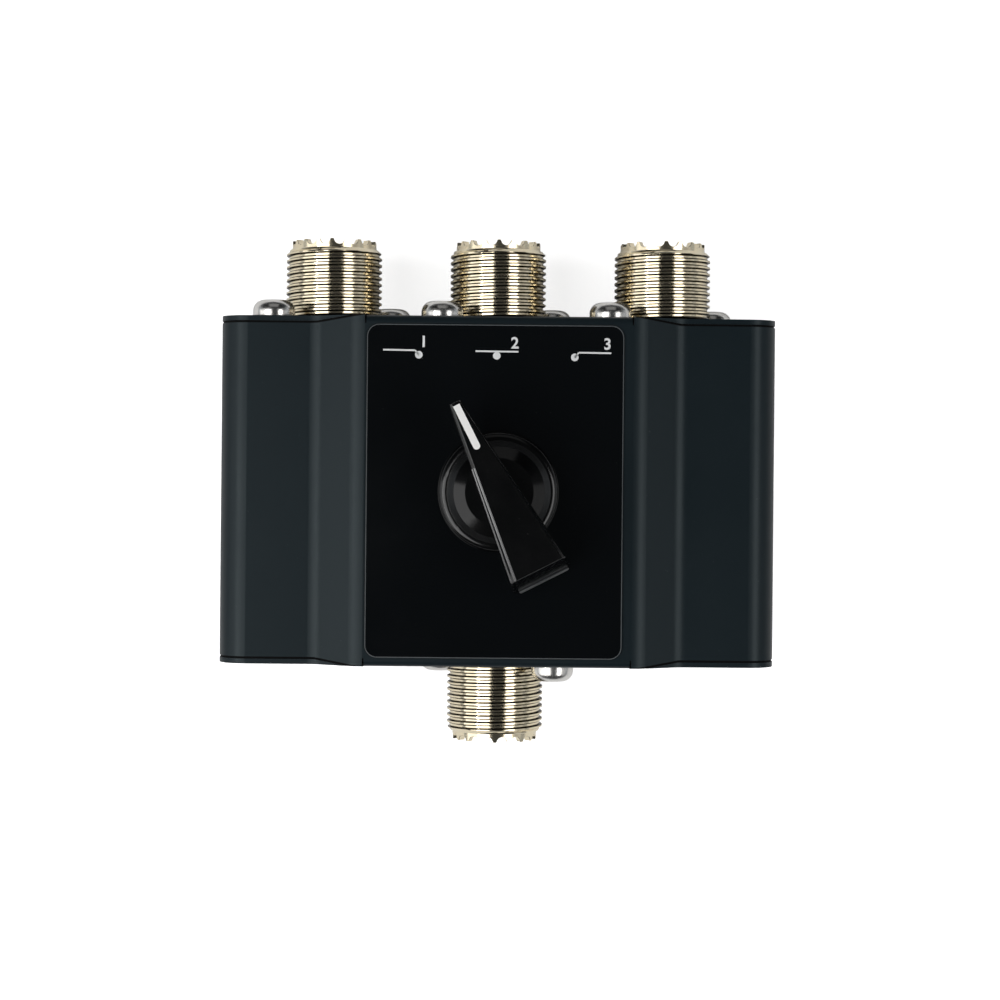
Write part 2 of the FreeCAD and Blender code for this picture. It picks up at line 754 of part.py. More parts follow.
def wafer():
    body = tube(wafer_radius, rotor_radius + rotor_clearance, wafer_underside, wafer_top)
    through = (wafer_underside - cut_over, wafer_top + cut_over)
    for tie in tie_places():
        body = body.cut(cylinder(tie_screw_radius + screw_hole_clearance, *through, tie))
    rivet_hole = cylinder(rivet_radius + rivet_clearance, *through, V(0, rivet_pitch_radius, 0))
    for angle in fixed_contact_angles():
        body = body.cut(turned(rivet_hole, angle))
    return body


def fixed_contact_angles():
    """Directions of the three antenna contacts and, opposite the middle one, the common contact."""
    antennas = [switch_rest_angle - index * detent_step for index in range(3)]
    return antennas + [antennas[1] + 180]


def rotor():
    """Insulating hub, with the double flat of the shaft through it."""
    body = cylinder(rotor_radius, rotor_underside, rotor_top)
    flange_top = wafer_underside - rotor_clearance
    body = body.fuse(cylinder(rotor_flange_radius, rotor_underside, flange_top))
    key = double_flat(shaft_clearance, rotor_underside - cut_over, rotor_top + cut_over)
    return body.cut(turned(key, switch_rest_angle))


def wiper():
    """Contact ring on the rotor, with the tongue that reaches an antenna contact."""
    ring = cylinder(wiper_ring_radius, rotor_top, wiper_top)
    half = wiper_width / 2
    body = ring.fuse(block((-half, half), (0, wiper_reach), (rotor_top, wiper_top)))
    body = body.cut(cylinder(wiper_ring_bore, rotor_top - cut_over, wiper_top + cut_over))
    return turned(body, switch_rest_angle)


def fixed_contact(jaw_radius):
    """Folded clip with a leaf above and below the wiper, riveted to the wafer, with a solder lug outside."""
    half = fixed_contact_width / 2
    leaf = fixed_contact_thickness
    upper = wiper_top + fixed_contact_gap
    web = (fixed_contact_web_radius, fixed_contact_web_radius + leaf)
    lug_tip = lug_radius + lug_end
    body = block((-half, half), (jaw_radius, lug_tip), (wafer_top, wafer_top + leaf))
    body = body.fuse(block((-half, half), web, (wafer_top, upper + leaf)))
    body = body.fuse(block((-half, half), (jaw_radius, web[1]), (upper, upper + leaf)))
    rivet_centre = V(0, rivet_pitch_radius, 0)
    rivet_foot = wafer_underside - rivet_head_height
    body = body.fuse(cylinder(rivet_radius, rivet_foot, wafer_top, rivet_centre))
    body = body.fuse(cylinder(rivet_head_radius, rivet_foot, wafer_underside, rivet_centre))
    hole_centre = V(0, lug_radius, 0)
    return body.cut(cylinder(lug_hole_radius, wafer_top - cut_over, wafer_top + cut_over, hole_centre))


def fixed_contacts():
    angles = fixed_contact_angles()
    antennas = [turned(fixed_contact(antenna_jaw_radius), angle) for angle in angles[:3]]
    return antennas + [turned(fixed_contact(common_jaw_radius), angles[3])]


def tie_spacers():
    inner = tie_screw_radius + screw_hole_clearance
    return [tube(spacer_radius, inner, wafer_top, frame_underside, tie) for tie in tie_places()]


def tie_screws():
    shank = frame_top - wafer_underside - thrust_gap
    head = (tie_screw_head_radius, tie_screw_head_height)
    down = Z_AXIS * -1
    return [screw_along(down, tie, -wafer_underside, *head, tie_screw_radius, shank) for tie in tie_places()]


def lead(lug_angle, jack_x, end):
    """Bare wire from a lug down and across into the cup of a jack's contact."""
    angle = math.radians(lug_angle)
    lug = V(-lug_radius * math.sin(angle), lug_radius * math.cos(angle), wafer_top + fixed_contact_thickness)
    cup = V(jack_x, end * (wall_inner_y + contact_tail_end), jack_axis_height)
    start = lug + Z_AXIS * lead_rise
    finish = cup + Y_AXIS * (end * (contact_cup_depth - lead_end_gap))
    if abs(jack_x) < jack_spacing / 2:
        points = [start, V(lug.x, lug.y, jack_axis_height), finish]
    else:
        points = [start, V(lug.x, lug.y, lead_run_height), cup - Y_AXIS * (end * lead_stand_off), finish]
    path = rounded_path(points, [lead_bend] * (len(points) - 2))
    ring = Part.Wire(Part.makeCircle(lead_radius, start, Z_AXIS))
    return path.makePipeShell([ring], True, False)


def save_switch():
    save("switch_frame", switch_frame())
    save("switch_lock_washer", lock_washer())
    save("switch_bush_nut", bush_nut())
    save("switch_shaft", shaft())
    save("shaft_retaining_clip", shaft_clip())
    save("index_wheel", index_wheel())
    save("detent_spring", detent_spring())
    save("switch_wafer", wafer())
    save("switch_rotor", rotor())
    save("rotor_wiper", wiper())
    save("fixed_contacts", *fixed_contacts())
    save("wafer_spacers", *tie_spacers())
    save("wafer_tie_screws", *tie_screws())
    for angle, (name, jack_x, end) in zip(fixed_contact_angles(), jacks):
        save(f"{name}_lead", lead(angle, jack_x, end))


# ---------------------------------------------------------------- knob, built with its pointer along +Y


def along_pointer(at_tip, at_tail, y):
    """Value that changes evenly along the pointer, from its tip to its tail."""
    share = (pointer_tip_reach - y) / (pointer_tip_reach + pointer_tail_reach)
    return at_tip + (at_tail - at_tip) * share


def pointer_half_width(y):
    """Half the width of the pointer below its bevels."""
    return along_pointer(pointer_tip_half_width, pointer_tail_half_width, y)


def pointer_top_half_width(y):
    """Half the width of the pointer's flat top, between its bevels."""
    return pointer_half_width(y) - along_pointer(pointer_tip_bevel, pointer_tail_bevel, y)


def pointer_bar():
    """Drafted wedge from tail to tip, bevelled along its top, its nose cut back underneath."""

    def ring(height, tip_y, tail_y, draft):
        tip_half = pointer_half_width(tip_y) + draft
        tail_half = pointer_half_width(tail_y) + draft
        places = ((tip_half, tip_y), (-tip_half, tip_y), (-tail_half, tail_y), (tail_half, tail_y))
        return [V(x, y, height) for x, y in places]

    foot_tip = pointer_tip_reach - pointer_nose_slope
    foot_tail = -pointer_tail_reach - pointer_tail_slope
    foot = ring(pointer_foot_height, foot_tip, foot_tail, pointer_draft)
    top = ring(knob_height, pointer_tip_reach, -pointer_tail_reach, 0)
    sides = [[foot[i - 1], foot[i], top[i], top[i - 1]] for i in range(len(foot))]
    faces = [Part.Face(Part.makePolygon(corners + corners[:1])) for corners in [foot, top] + sides]
    bar = Part.makeShell(faces)
    bar.sewShape()
    bar = Part.makeSolid(bar)
    if bar.Volume < 0:
        bar.reverse()
    nose_tip = pointer_tip_reach + cut_over
    wedge = [
        V(-knob_skirt_radius, knob_neck_radius, pointer_foot_height - cut_over),
        V(-knob_skirt_radius, knob_neck_radius, pointer_foot_height),
        V(-knob_skirt_radius, nose_tip, pointer_foot_height + pointer_nose_lift),
        V(-knob_skirt_radius, nose_tip, pointer_foot_height - cut_over),
    ]
    bar = bar.cut(prism(wedge, X_AXIS * (2 * knob_skirt_radius)))
    for side in (-1, 1):
        bar = bar.cut(bevel_cutter(side))
    top_edges = [e for e in bar.Edges if e.BoundBox.ZMin > knob_height - same_place]
    bar = bar.makeFillet(pointer_edge_round, top_edges)
    bar = bar.makeFillet(pointer_shoulder_round, bevel_feet(bar))
    heel = [e for e in bar.Edges if e.BoundBox.YMax < foot_tail + same_place]
    return bar.makeFillet(pointer_heel_round, heel)


def bevel_cutter(side):
    """Prism that takes off one long upper edge of the pointer."""
    tip_y = pointer_tip_reach + cut_over
    tail_y = -pointer_tail_reach - pointer_tail_slope - cut_over
    edge_at_tip = V(side * pointer_top_half_width(tip_y), tip_y, knob_height)
    edge_at_tail = V(side * pointer_top_half_width(tail_y), tail_y, knob_height)
    outward = V(side, 0, -pointer_bevel_fall)
    above = edge_at_tip - outward * cut_over
    beyond = edge_at_tip + outward * knob_skirt_radius
    corner = V(beyond.x, beyond.y, above.z)
    return prism([above, beyond, corner], edge_at_tail - edge_at_tip)


def bevel_feet(bar):
    """Long edges between the bevels and the flanks."""
    lowest = knob_height - 2 * pointer_bevel_fall * pointer_tail_bevel
    return [
        e
        for e in bar.Edges
        if e.BoundBox.YLength > pointer_tip_reach
        and e.BoundBox.ZMin > lowest
        and e.BoundBox.ZMax < knob_height - pointer_edge_round - same_place
    ]


def pointer_strip(low, high):
    """Strip set into the pointer's top near its tip, with a round inner end."""
    outer_y = pointer_tip_reach - pointer_line_tip_gap
    inner_y = outer_y - pointer_line_length
    rounded = pointer_edge_round * math.tan(math.atan(pointer_bevel_fall) / 2)
    half = pointer_top_half_width(outer_y) - rounded - pointer_line_margin
    strip = block((-half, half), (inner_y + half, outer_y), (low, high))
    return strip.fuse(cylinder(half, low, high, V(0, inner_y + half, 0)))


def knob():
    base = revolved(
        [
            (0, 0),
            (knob_skirt_radius, 0),
            (knob_skirt_radius, knob_skirt_height),
            (knob_neck_radius, knob_skirt_height),
            (knob_wall_top_radius, knob_wall_height),
            (knob_shoulder_radius, knob_shoulder_height),
            (knob_crown_radius, knob_crown_height),
            (0, knob_crown_height),
        ]
    )
    top_rings = [e for e in base.Edges if e.Closed and abs(e.BoundBox.ZMin - knob_skirt_height) < same_place]
    skirt_edge = max(top_rings, key=lambda ring: ring.Length)
    body = base.makeFillet(knob_skirt_round, [skirt_edge]).fuse(pointer_bar())
    body = body.cut(cylinder(nut_recess_radius, -cut_over, nut_recess_top()))
    body = body.cut(cylinder(clip_recess_radius, -cut_over, clip_recess_top()))
    body = body.cut(cylinder(knob_insert_radius, 0, knob_bore_top))
    grub_centre = V(0, 0, grub_screw_height())
    body = body.cut(cylinder(grub_screw_hole_radius, 0, knob_skirt_radius, grub_centre, X_AXIS))
    return body.cut(pointer_strip(knob_height - pointer_line_depth, knob_height + cut_over))


def nut_recess_top():
    return bush_nut_top - knob_underside + nut_recess_clearance


def clip_recess_top():
    return clip_bottom() + clip_thickness - knob_underside + clip_recess_clearance


def grub_screw_height():
    return knob_bore_top - knob_insert_length / 2


def knob_insert():
    """Brass bush moulded into the knob."""
    bush_start = knob_bore_top - knob_insert_length
    body = tube(knob_insert_radius, shaft_radius + knob_bore_clearance, bush_start, knob_bore_top)
    radial = (0, knob_insert_radius + cut_over)
    centre = V(0, 0, grub_screw_height())
    return body.cut(cylinder(grub_screw_radius + thread_clearance, *radial, centre, X_AXIS))


def grub_screw():
    """Socket screw that bears on the shaft's flat."""
    start = shaft_radius - shaft_flat_depth + shaft_clearance
    end = start + grub_screw_length
    centre = V(0, 0, grub_screw_height())
    body = cylinder(grub_screw_radius, start, end, centre, X_AXIS)
    socket = hexagon(grub_socket_size, end - grub_socket_depth, end + cut_over)
    socket.Placement = FreeCAD.Placement(centre, FreeCAD.Rotation(Z_AXIS, X_AXIS))
    return body.cut(socket)


def pointer_line():
    """White strip set into the pointer, standing just proud of it."""
    return pointer_strip(knob_height - pointer_line_depth, knob_height + pointer_line_proud)


def save_knob():
    parts = {
        "knob": knob(),
        "knob_insert": knob_insert(),
        "knob_grub_screw": grub_screw(),
        "knob_pointer_line": pointer_line(),
    }
    for name, shape in parts.items():
        save(name, turned(moved(shape, Z_AXIS * knob_underside), pointer_rest_angle))


# ---------------------------------------------------------------- the whole part

os.makedirs("parts", exist_ok=True)
save("housing", housing())
save("tray", tray())
save("tray_screws", *tray_screws())
save("panel_label", label())
save_jacks()
save_switch()
save_knob()
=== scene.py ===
import json
import math
import random

import bmesh
import bpy
from mathutils import Matrix, Vector


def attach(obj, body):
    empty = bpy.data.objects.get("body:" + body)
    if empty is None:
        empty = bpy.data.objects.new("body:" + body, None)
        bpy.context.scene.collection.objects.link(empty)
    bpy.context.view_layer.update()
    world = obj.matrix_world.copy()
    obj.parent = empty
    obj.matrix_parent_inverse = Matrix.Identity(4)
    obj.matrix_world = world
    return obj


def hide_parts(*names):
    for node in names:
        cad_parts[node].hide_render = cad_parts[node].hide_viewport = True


"""Looks of a three-way coaxial antenna switch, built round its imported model.

Lengths are in millimetres until a mesh is made, and then in metres.
Frame: +X right, +Y towards the antenna jacks, +Z up through the panel.
"""

MM = 0.001

# ---------------------------------------------------------------- sizes

panel_top = 32.5
label_top = 32.8
label_half_width = 20.35
label_half_length = 26.4
label_centre_x = -0.6
label_corner = 2.0
half_width = 44.6
wall_inner_y = 27.0
wall_outer_y = 27.8
wing_top = 29.0
panel_foot = 29.1
panel_crest = 22.4
foot_bend = 4.4
crest_bend = 5.2
corner_bend = 4.5
slit_width = 0.35
slit_fill_sunk = 0.14  # below the sheet's face
slit_fill_thickness = 0.5
slit_fill_bite = 0.03  # into the sheet, so that no gap shows
slit_fill_foot = 0.3  # above the underside
fold_radius = 1.1
notch_start = 21.02
notch_width = 0.25
notch_deeper = 0.2  # than the fold's radius
arc_steps = 6  # in each rounded corner of the slits

jack_spacing = 27.2
jack_axis_height = 15.0
thread_radius = 7.9
thread_pitch = 25.4 / 24
thread_depth = 0.46
crest_share = 0.13  # of the pitch, each side of a crest's middle
root_share = 0.13
thread_starts_at = 1.15
thread_ends_at = 12.55
thread_rise = 0.9  # radius gained per length as the thread starts
thread_end_step = 0.35  # from the rim up to the thread's end chamfer
neck_radius = 7.3
rim_radius = 6.95
rim_middle_radius = 6.33
rim_edge_break = 0.08
rim_tip = 14.0
bore_radius = 5.7
bore_edge_break = 0.06
seat_depth = 1.0
hub_bore_radius = 4.6
hub_radius = 6.3
hub_back = 4.0
flange_half = 12.7
flange_corner = 1.5
flange_thickness = 2.0
flange_edge_break = 0.15
tooth_count = 18
tooth_valley_radius = 0.9
columns_per_tooth = 10
# the painted shade on the thread flanks stops this far short of the thread's end
flank_shade_stops_short = 0.6  # of the thread's end
weld_distance = 0.0005  # joins the points where the thread runs out

jack_screw_offset = 9.13
jack_head = {"radius": 3.4, "height": 2.8, "shank": 1.65, "length": 6.0}
tray_head = {"radius": 2.8, "height": 1.5, "shank": 1.45, "length": 6.0}
tray_screw_height = 5.2
tray_screw_y = 17.0
dome_share = 0.62  # of a screw head's height
dome_steps = 8
screw_columns = 48
head_seat_break = 0.12
screw_point_length, screw_point_depth = 0.4, 0.35
recess_reach, recess_half_width = 0.5, 0.125  # of the head's radius
recess_depth = 0.62  # of the head's height
recess_mouth_flare = (1.25, 1.3)  # of the reach and the width, above the head
recess_floor_share = (0.45, 0.75)
recess_eased_edge = 0.07
recess_eased_angle = 32.0  # degrees; edges that turn less stay as they are

pointer_turn = 27.0  # degrees from +Y towards -X
pointer_top = 49.0
pointer_tip, pointer_tail = 15.2, -13.0
pointer_foot_tail, pointer_foot_height = -15.4, 36.3
tip_half_width, tail_half_width = 0.85, 4.5
tip_bevel, tail_bevel = 0.25, 0.7
bevel_fall = 1.2  # of the bevel's width
flat_slope = 22.0  # degrees, of the two flats on each bevel
flat_inward, flat_outward = 0.2, 0.17  # beyond the bevel's edges, of its width
upper_flat_sunk = 0.026  # below the top's plane
lower_flat_raised = 0.02  # above the bevel
left_flats_start = 5.0  # along the pointer, from the knob's axis
right_flats_start = pointer_tip - 0.3
flats_end = pointer_tail + 0.05
flat_step_start, flat_step_end = 0.4, 0.62  # across the bevel, at the pointer's tip
flat_step_spread = 0.1  # that much wider each way at the tail
flat_edge_height = 0.08
heel_radius = 0.25
heel_out, heel_up = 0.12, 0.3  # from the foot of the pointer's tail
heel_rings = ((-1, 0.75, 0.4), (-1, 1.0, 1.0), (1, 0.6, 1.0), (1, 0.3, 0.4))  # side, inset, share of radius
heel_columns = 16

ink_thickness = 0.02
border_inset, border_width = 0.06, 0.15
figure_height = 1.75
cap_share = 0.7  # a figure's height over its font's size
figure_boldness = 0.03  # of a figure's height
mark_width = 0.26
dot_radius = 0.6
dot_columns = 28

floor_half = 6000.0
floor_glow = 0.8  # keeps the floor white where no lamp reaches it

camera_place = (-0.0055, 0.003, 0.375)  # metres
camera_turn = 0.52  # degrees
camera_lens = 78.1
camera_shift = (0.0366, -0.0276)

jacks = [
    ("antenna_1", -jack_spacing, 1),
    ("antenna_2", 0.0, 1),
    ("antenna_3", jack_spacing, 1),
    ("radio", 0.0, -1),
]

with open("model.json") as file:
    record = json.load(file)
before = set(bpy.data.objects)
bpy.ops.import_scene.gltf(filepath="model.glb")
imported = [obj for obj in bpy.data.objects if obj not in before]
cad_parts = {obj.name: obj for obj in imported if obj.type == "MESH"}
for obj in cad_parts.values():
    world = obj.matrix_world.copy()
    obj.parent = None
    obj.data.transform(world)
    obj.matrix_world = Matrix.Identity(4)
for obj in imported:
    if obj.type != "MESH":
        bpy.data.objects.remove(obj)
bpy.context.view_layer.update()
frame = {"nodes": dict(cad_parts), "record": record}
scene = bpy.context.scene
chance = random.Random(7)

# ---------------------------------------------------------------- meshes


def object_from(name, bm, smooth_below=None):
    """Object with the mesh of bm, in millimetres; edges flatter than smooth_below degrees look smooth."""
    bmesh.ops.scale(bm, vec=(MM, MM, MM), verts=bm.verts)
    bmesh.ops.recalc_face_normals(bm, faces=bm.faces)
    if smooth_below is not None:
        limit = math.radians(smooth_below)
        for face in bm.faces:
            face.smooth = True
        for edge in bm.edges:
            edge.smooth = edge.is_manifold and edge.calc_face_angle(0) < limit
    mesh = bpy.data.meshes.new(name)
    bm.to_mesh(mesh)
    bm.free()
    piece = bpy.data.objects.new(name, mesh)
    scene.collection.objects.link(piece)
    return piece


def settle(piece):
    """Applies the piece's modifiers to its mesh."""
    graph = bpy.context.evaluated_depsgraph_get()
    mesh = bpy.data.meshes.new_from_object(piece.evaluated_get(graph))
    piece.modifiers.clear()
    piece.data = mesh
    return piece


def skin(bm, rings):
    """Faces between rings of vertices, each ring closed on itself, from one ring to the next."""
    for ring, after in zip(rings, rings[1:]):
        for i in range(len(ring)):
            j = (i + 1) % len(ring)
            bm.faces.new((ring[i], ring[j], after[j], after[i]))


def loft(bm, rings):
    """Closed piece through rings of vertices: a face at each end and the skin between them."""
    bm.faces.new(rings[0])
    bm.faces.new(rings[-1])
    skin(bm, rings)


def lathe(bm, profile, columns):
    """Round piece about Z from (radius, height) points; a radius of 0 closes it."""
    rings = []
    for radius, height in profile:
        if radius == 0:
            rings.append([bm.verts.new((0, 0, height))])
            continue
        ring = []
        for i in range(columns):
            angle = 2 * math.pi * i / columns
            ring.append(bm.verts.new((radius * math.cos(angle), radius * math.sin(angle), height)))
        rings.append(ring)
    for ring, after in zip(rings, rings[1:]):
        for i in range(columns):
            j = (i + 1) % columns
            corners = [ring[i % len(ring)], ring[j % len(ring)]]
            corners += [after[j % len(after)], after[i % len(after)]]
            corners = list(dict.fromkeys(corners))
            if len(corners) > 2:
                bm.faces.new(corners)


def plate(bm, outline, low, high):
    """Flat plate from a closed outline of (x, y) points."""
    bottom = [bm.verts.new((x, y, low)) for x, y in outline]
    top = [bm.verts.new((x, y, high)) for x, y in outline]
    loft(bm, (bottom, top))


def round_rectangle(half_x, half_y, corner, centre_x=0.0, steps=8):
    """Outline of a rectangle with rounded corners."""
    points = []
    for side_x, side_y, start in ((1, 1, 0), (-1, 1, 90), (-1, -1, 180), (1, -1, 270)):
        for step in range(steps + 1):
            angle = math.radians(start + 90 * step / steps)
            x = centre_x + side_x * (half_x - corner) + corner * math.cos(angle)
            y = side_y * (half_y - corner) + corner * math.sin(angle)
            points.append((x, y))
    return points


def jack_matrix(jack_x, end):
    """Places a shape built along +Z from the flange's front on its end wall, with its local +Y up."""
    across = Vector((-end, 0, 0))
    up = Vector((0, 0, 1))
    along = Vector((0, end, 0))
    turn = Matrix((across, up, along)).transposed().to_4x4()
    return Matrix.Translation((jack_x, end * wall_inner_y, jack_axis_height)) @ turn


# ---------------------------------------------------------------- threaded jack shells


def thread_radius_at(angle, height):
    """Radius of the helical thread: flat crests and roots, straight flanks, run out at both ends."""
    turns = (height / thread_pitch - angle / (2 * math.pi)) % 1.0
    from_crest = min(turns, 1 - turns)
    share = min(max((from_crest - crest_share) / (0.5 - crest_share - root_share), 0.0), 1.0)
    radius = thread_radius - thread_depth * share
    start_cone = neck_radius + (height - thread_starts_at) * thread_rise
    end_cone = rim_radius + thread_end_step + (thread_ends_at - height)
    return min(radius, start_cone, end_cone)


def square_radius(angle):
    """Distance from the jack's axis to the edge of its flange."""
    c, s = abs(math.cos(angle)), abs(math.sin(angle))
    inner = flange_half - flange_corner
    reach = flange_half / max(c, s)
    if reach * c > inner and reach * s > inner:
        b = (c + s) * inner
        reach = b + math.sqrt(b * b - 2 * inner * inner + flange_corner * flange_corner)
    return reach


def tooth_top(angle, radius):
    """Height of the rim's crown at an angle: round valleys between the teeth."""
    step = 2 * math.pi / tooth_count
    off = (angle + step / 2) % step - step / 2
    across = radius * math.sin(off)
    depth = math.sqrt(max(tooth_valley_radius**2 - across**2, 0.0))
    return rim_tip - depth


def threaded_shell(name, jack_x, end):
    columns = tooth_count * columns_per_tooth
    angles = [2 * math.pi * i / columns for i in range(columns + 1)]
    rows = []

    def ring(radius, height):
        rows.append([(radius, height)] * (columns + 1))

    rows.append([(square_radius(a) - flange_edge_break, 0.0) for a in angles])
    ring(neck_radius, 0.0)
    ring(neck_radius, thread_starts_at)
    phases = (-crest_share, 0.0, crest_share, 0.25, 0.5 - root_share, 0.5 + root_share, 0.75)
    turns = int((thread_ends_at - thread_starts_at) / thread_pitch) + 3
    for turn in range(-2, turns):
        for phase in phases:
            row = []
            for a in angles:
                height = (turn + phase + a / (2 * math.pi)) * thread_pitch
                height = min(max(height, thread_starts_at), thread_ends_at)
                row.append((thread_radius_at(a, height), height))
            rows.append(row)
    ring(rim_radius, thread_ends_at)
    crown = [(rim_radius, rim_edge_break), (rim_radius - rim_edge_break, 0.0), (rim_middle_radius, 0.0)]
    crown += [(bore_radius + bore_edge_break, 0.0), (bore_radius, bore_edge_break)]
    for radius, lower in crown:
        rows.append([(radius, tooth_top(a, radius) - lower) for a in angles])
    ring(bore_radius, -seat_depth)
    ring(hub_bore_radius, -seat_depth)
    ring(hub_bore_radius, -hub_back)
    ring(hub_radius, -hub_back)
    ring(hub_radius, -flange_thickness)
    rows.append([(square_radius(a) - flange_edge_break, -flange_thickness) for a in angles])
    rows.append([(square_radius(a), -flange_thickness + flange_edge_break) for a in angles])
    rows.append([(square_radius(a), -flange_edge_break) for a in angles])

    bm = bmesh.new()
    matrix = jack_matrix(jack_x, end)
    grid = []
    for row in rows:
        points = [(r * math.cos(a), r * math.sin(a), z) for (r, z), a in zip(row, angles)]
        grid.append([bm.verts.new(matrix @ Vector(point)) for point in points])
    for row, after in zip(grid, grid[1:] + grid[:1]):
        for i in range(columns):
            bm.faces.new((row[i], row[i + 1], after[i + 1], after[i]))
    bmesh.ops.remove_doubles(bm, verts=bm.verts, dist=weld_distance)
    bmesh.ops.dissolve_degenerate(bm, edges=bm.edges, dist=weld_distance)
    return object_from(name, bm, smooth_below=25)


# ---------------------------------------------------------------- cross-recessed screws


def screw_profile(size):
    """Pan head with a domed edge, on a plain shank, from the head's top down."""
    radius, height, shank, length = size["radius"], size["height"], size["shank"], size["length"]
    dome = height * dome_share
    profile = [(0, height)]
    for step in range(dome_steps + 1):
        angle = math.radians(90 * (1 - step / dome_steps))
        profile.append((radius - dome * (1 - math.cos(angle)), height - dome * (1 - math.sin(angle))))
    profile += [(radius, head_seat_break), (radius - head_seat_break, 0), (shank, 0)]
    profile += [(shank, -length + screw_point_length), (shank - screw_point_depth, -length), (0, -length)]
    return profile


def cross_cutter(size):
    """Tapered cross that sinks the screw's recess."""
    bm = bmesh.new()
    arm = size["radius"] * recess_reach
    half = size["radius"] * recess_half_width
    depth = size["height"] * recess_depth

    def cross(reach, half_width, height):
        corner = [(reach, -half_width), (reach, half_width), (half_width, half_width)]
        points = []
        for quarter in range(4):
            turn = Matrix.Rotation(math.radians(90 * quarter), 2)
            points += [turn @ Vector(point) for point in corner]
        return [bm.verts.new((point.x, point.y, height)) for point in points]

    rings = [
        cross(arm * recess_mouth_flare[0], half * recess_mouth_flare[1], size["height"] + 1),
        cross(arm, half, size["height"] - 0.01),
        cross(arm * recess_floor_share[0], half * recess_floor_share[1], size["height"] - depth),
    ]
    loft(bm, rings)
    return object_from("recess_cutter", bm)


def screw_mesh(size):
    """One finished screw along +Z, its head seated at height 0."""
    bm = bmesh.new()
    lathe(bm, screw_profile(size), screw_columns)
    screw = object_from("screw_blank", bm)
    cutter = cross_cutter(size)
    cut = screw.modifiers.new("recess", "BOOLEAN")
    cut.operation = "DIFFERENCE"
    cut.solver = "EXACT"
    cut.object = cutter
    settle(screw)
    ease = screw.modifiers.new("eased_edges", "BEVEL")
    ease.width = recess_eased_edge * MM
    ease.segments = 2
    ease.limit_method = "ANGLE"
    ease.angle_limit = math.radians(recess_eased_angle)
    settle(screw)
    mesh = screw.data
    bpy.data.objects.remove(screw)
    bpy.data.objects.remove(cutter)
    return mesh


def screw_set(name, size, places):
    """All of one kind of screw as one piece, each turned to where its driver left it."""
    pattern = screw_mesh(size)
    bm = bmesh.new()
    for centre, axis in places:
        turn = axis.to_track_quat("Z", "Y").to_matrix().to_4x4()
        spin = Matrix.Rotation(chance.uniform(0, math.pi / 2), 4, "Z")
        copy = pattern.copy()
        copy.transform(Matrix.Translation(centre * MM) @ turn @ spin)
        bm.from_mesh(copy)
        bpy.data.meshes.remove(copy)
    bpy.data.meshes.remove(pattern)
    bmesh.ops.scale(bm, vec=(1 / MM, 1 / MM, 1 / MM), verts=bm.verts)
    return object_from(name, bm, smooth_below=30)


def jack_screw_places():
    places = []
    for _, jack_x, end in jacks:
        for side in (-1, 1):
            across, up = -end * side * jack_screw_offset, side * jack_screw_offset
            centre = Vector((jack_x + across, end * wall_outer_y, jack_axis_height + up))
            places.append((centre, Vector((0, end, 0))))
    return places


def tray_screw_places():
    places = []
    for side in (-1, 1):
        for y in (-tray_screw_y, tray_screw_y):
            places.append((Vector((side * half_width, y, tray_screw_height)), Vector((side, 0, 0))))
    return places


# ---------------------------------------------------------------- paint and painted shade in the housing's slits


def rounded_line(corners, radii):
    """Points (x, z) of a line whose inner corners are rounded, each with the line's left-hand normal."""
    points = [Vector(corners[0])]
    for before, corner, after, radius in zip(corners, corners[1:], corners[2:], radii):
        back = (Vector(before) - Vector(corner)).normalized()
        ahead = (Vector(after) - Vector(corner)).normalized()
        half = back.angle(ahead) / 2
        centre = Vector(corner) + (back + ahead).normalized() * (radius / math.sin(half))
        start = (Vector(corner) + back * (radius / math.tan(half)) - centre).normalized()
        end = (Vector(corner) + ahead * (radius / math.tan(half)) - centre).normalized()
        for step in range(arc_steps + 1):
            points.append(centre + start.slerp(end, step / arc_steps) * radius)
    points.append(Vector(corners[-1]))
    line = []
    for i, point in enumerate(points):
        along = points[min(i + 1, len(points) - 1)] - points[max(i - 1, 0)]
        line.append((point, Vector((-along.y, along.x)).normalized()))
    return line


def filled_slits():
    """Fill in the narrow slits round the end walls, sunk a little below the sheet's face: paint run into
    them, and a dark sheet of painted shade down in the gaps.
    """
    sunk, thick, bite = slit_fill_sunk, slit_fill_thickness, slit_fill_bite
    corners = [(notch_start, panel_top), (panel_crest, panel_top), (panel_foot, wing_top)]
    corners += [(half_width, wing_top), (half_width, slit_fill_foot)]
    line = rounded_line(corners, (crest_bend, foot_bend, corner_bend))
    bm = bmesh.new()
    for side in (-1, 1):
        for end in (-1, 1):
            rows = []
            for point, normal in line:
                share = min(max((panel_foot - point.x) / (panel_foot - notch_start - notch_width), 0.0), 1.0)
                y = wall_inner_y - slit_width + share * (slit_width + wall_outer_y - wall_inner_y)
                y = min(y, wall_outer_y - slit_width - bite)
                outer = point - normal * sunk
                inner = point - normal * (sunk + thick)
                section = [(outer, y - bite), (outer, y + slit_width + bite)]
                section += [(inner, y + slit_width + bite), (inner, y - bite)]
                rows.append([bm.verts.new((side * p.x, end * across, p.y)) for p, across in section])
            loft(bm, rows)
            low, high = sorted((side * (notch_start - bite), side * (notch_start + notch_width + bite)))
            fold_y, fold_z = wall_outer_y - fold_radius, panel_top - fold_radius
            notch_end_y = wall_outer_y - fold_radius - notch_deeper - bite
            fan = [(notch_end_y, fold_z)]
            reach = fold_radius - sunk
            for step in range(arc_steps + 1):
                angle = math.radians(90 * step / arc_steps)
                fan.append((fold_y + reach * math.cos(angle), fold_z + reach * math.sin(angle)))
            fan.append((notch_end_y, fold_z + reach))
            sheets = [[bm.verts.new((x, end * y, z)) for y, z in fan] for x in (low, high)]
            loft(bm, sheets)
    return object_from("slit_fill_with_painted_shade", bm, smooth_below=20)


# ---------------------------------------------------------------- edges of the knob's pointer


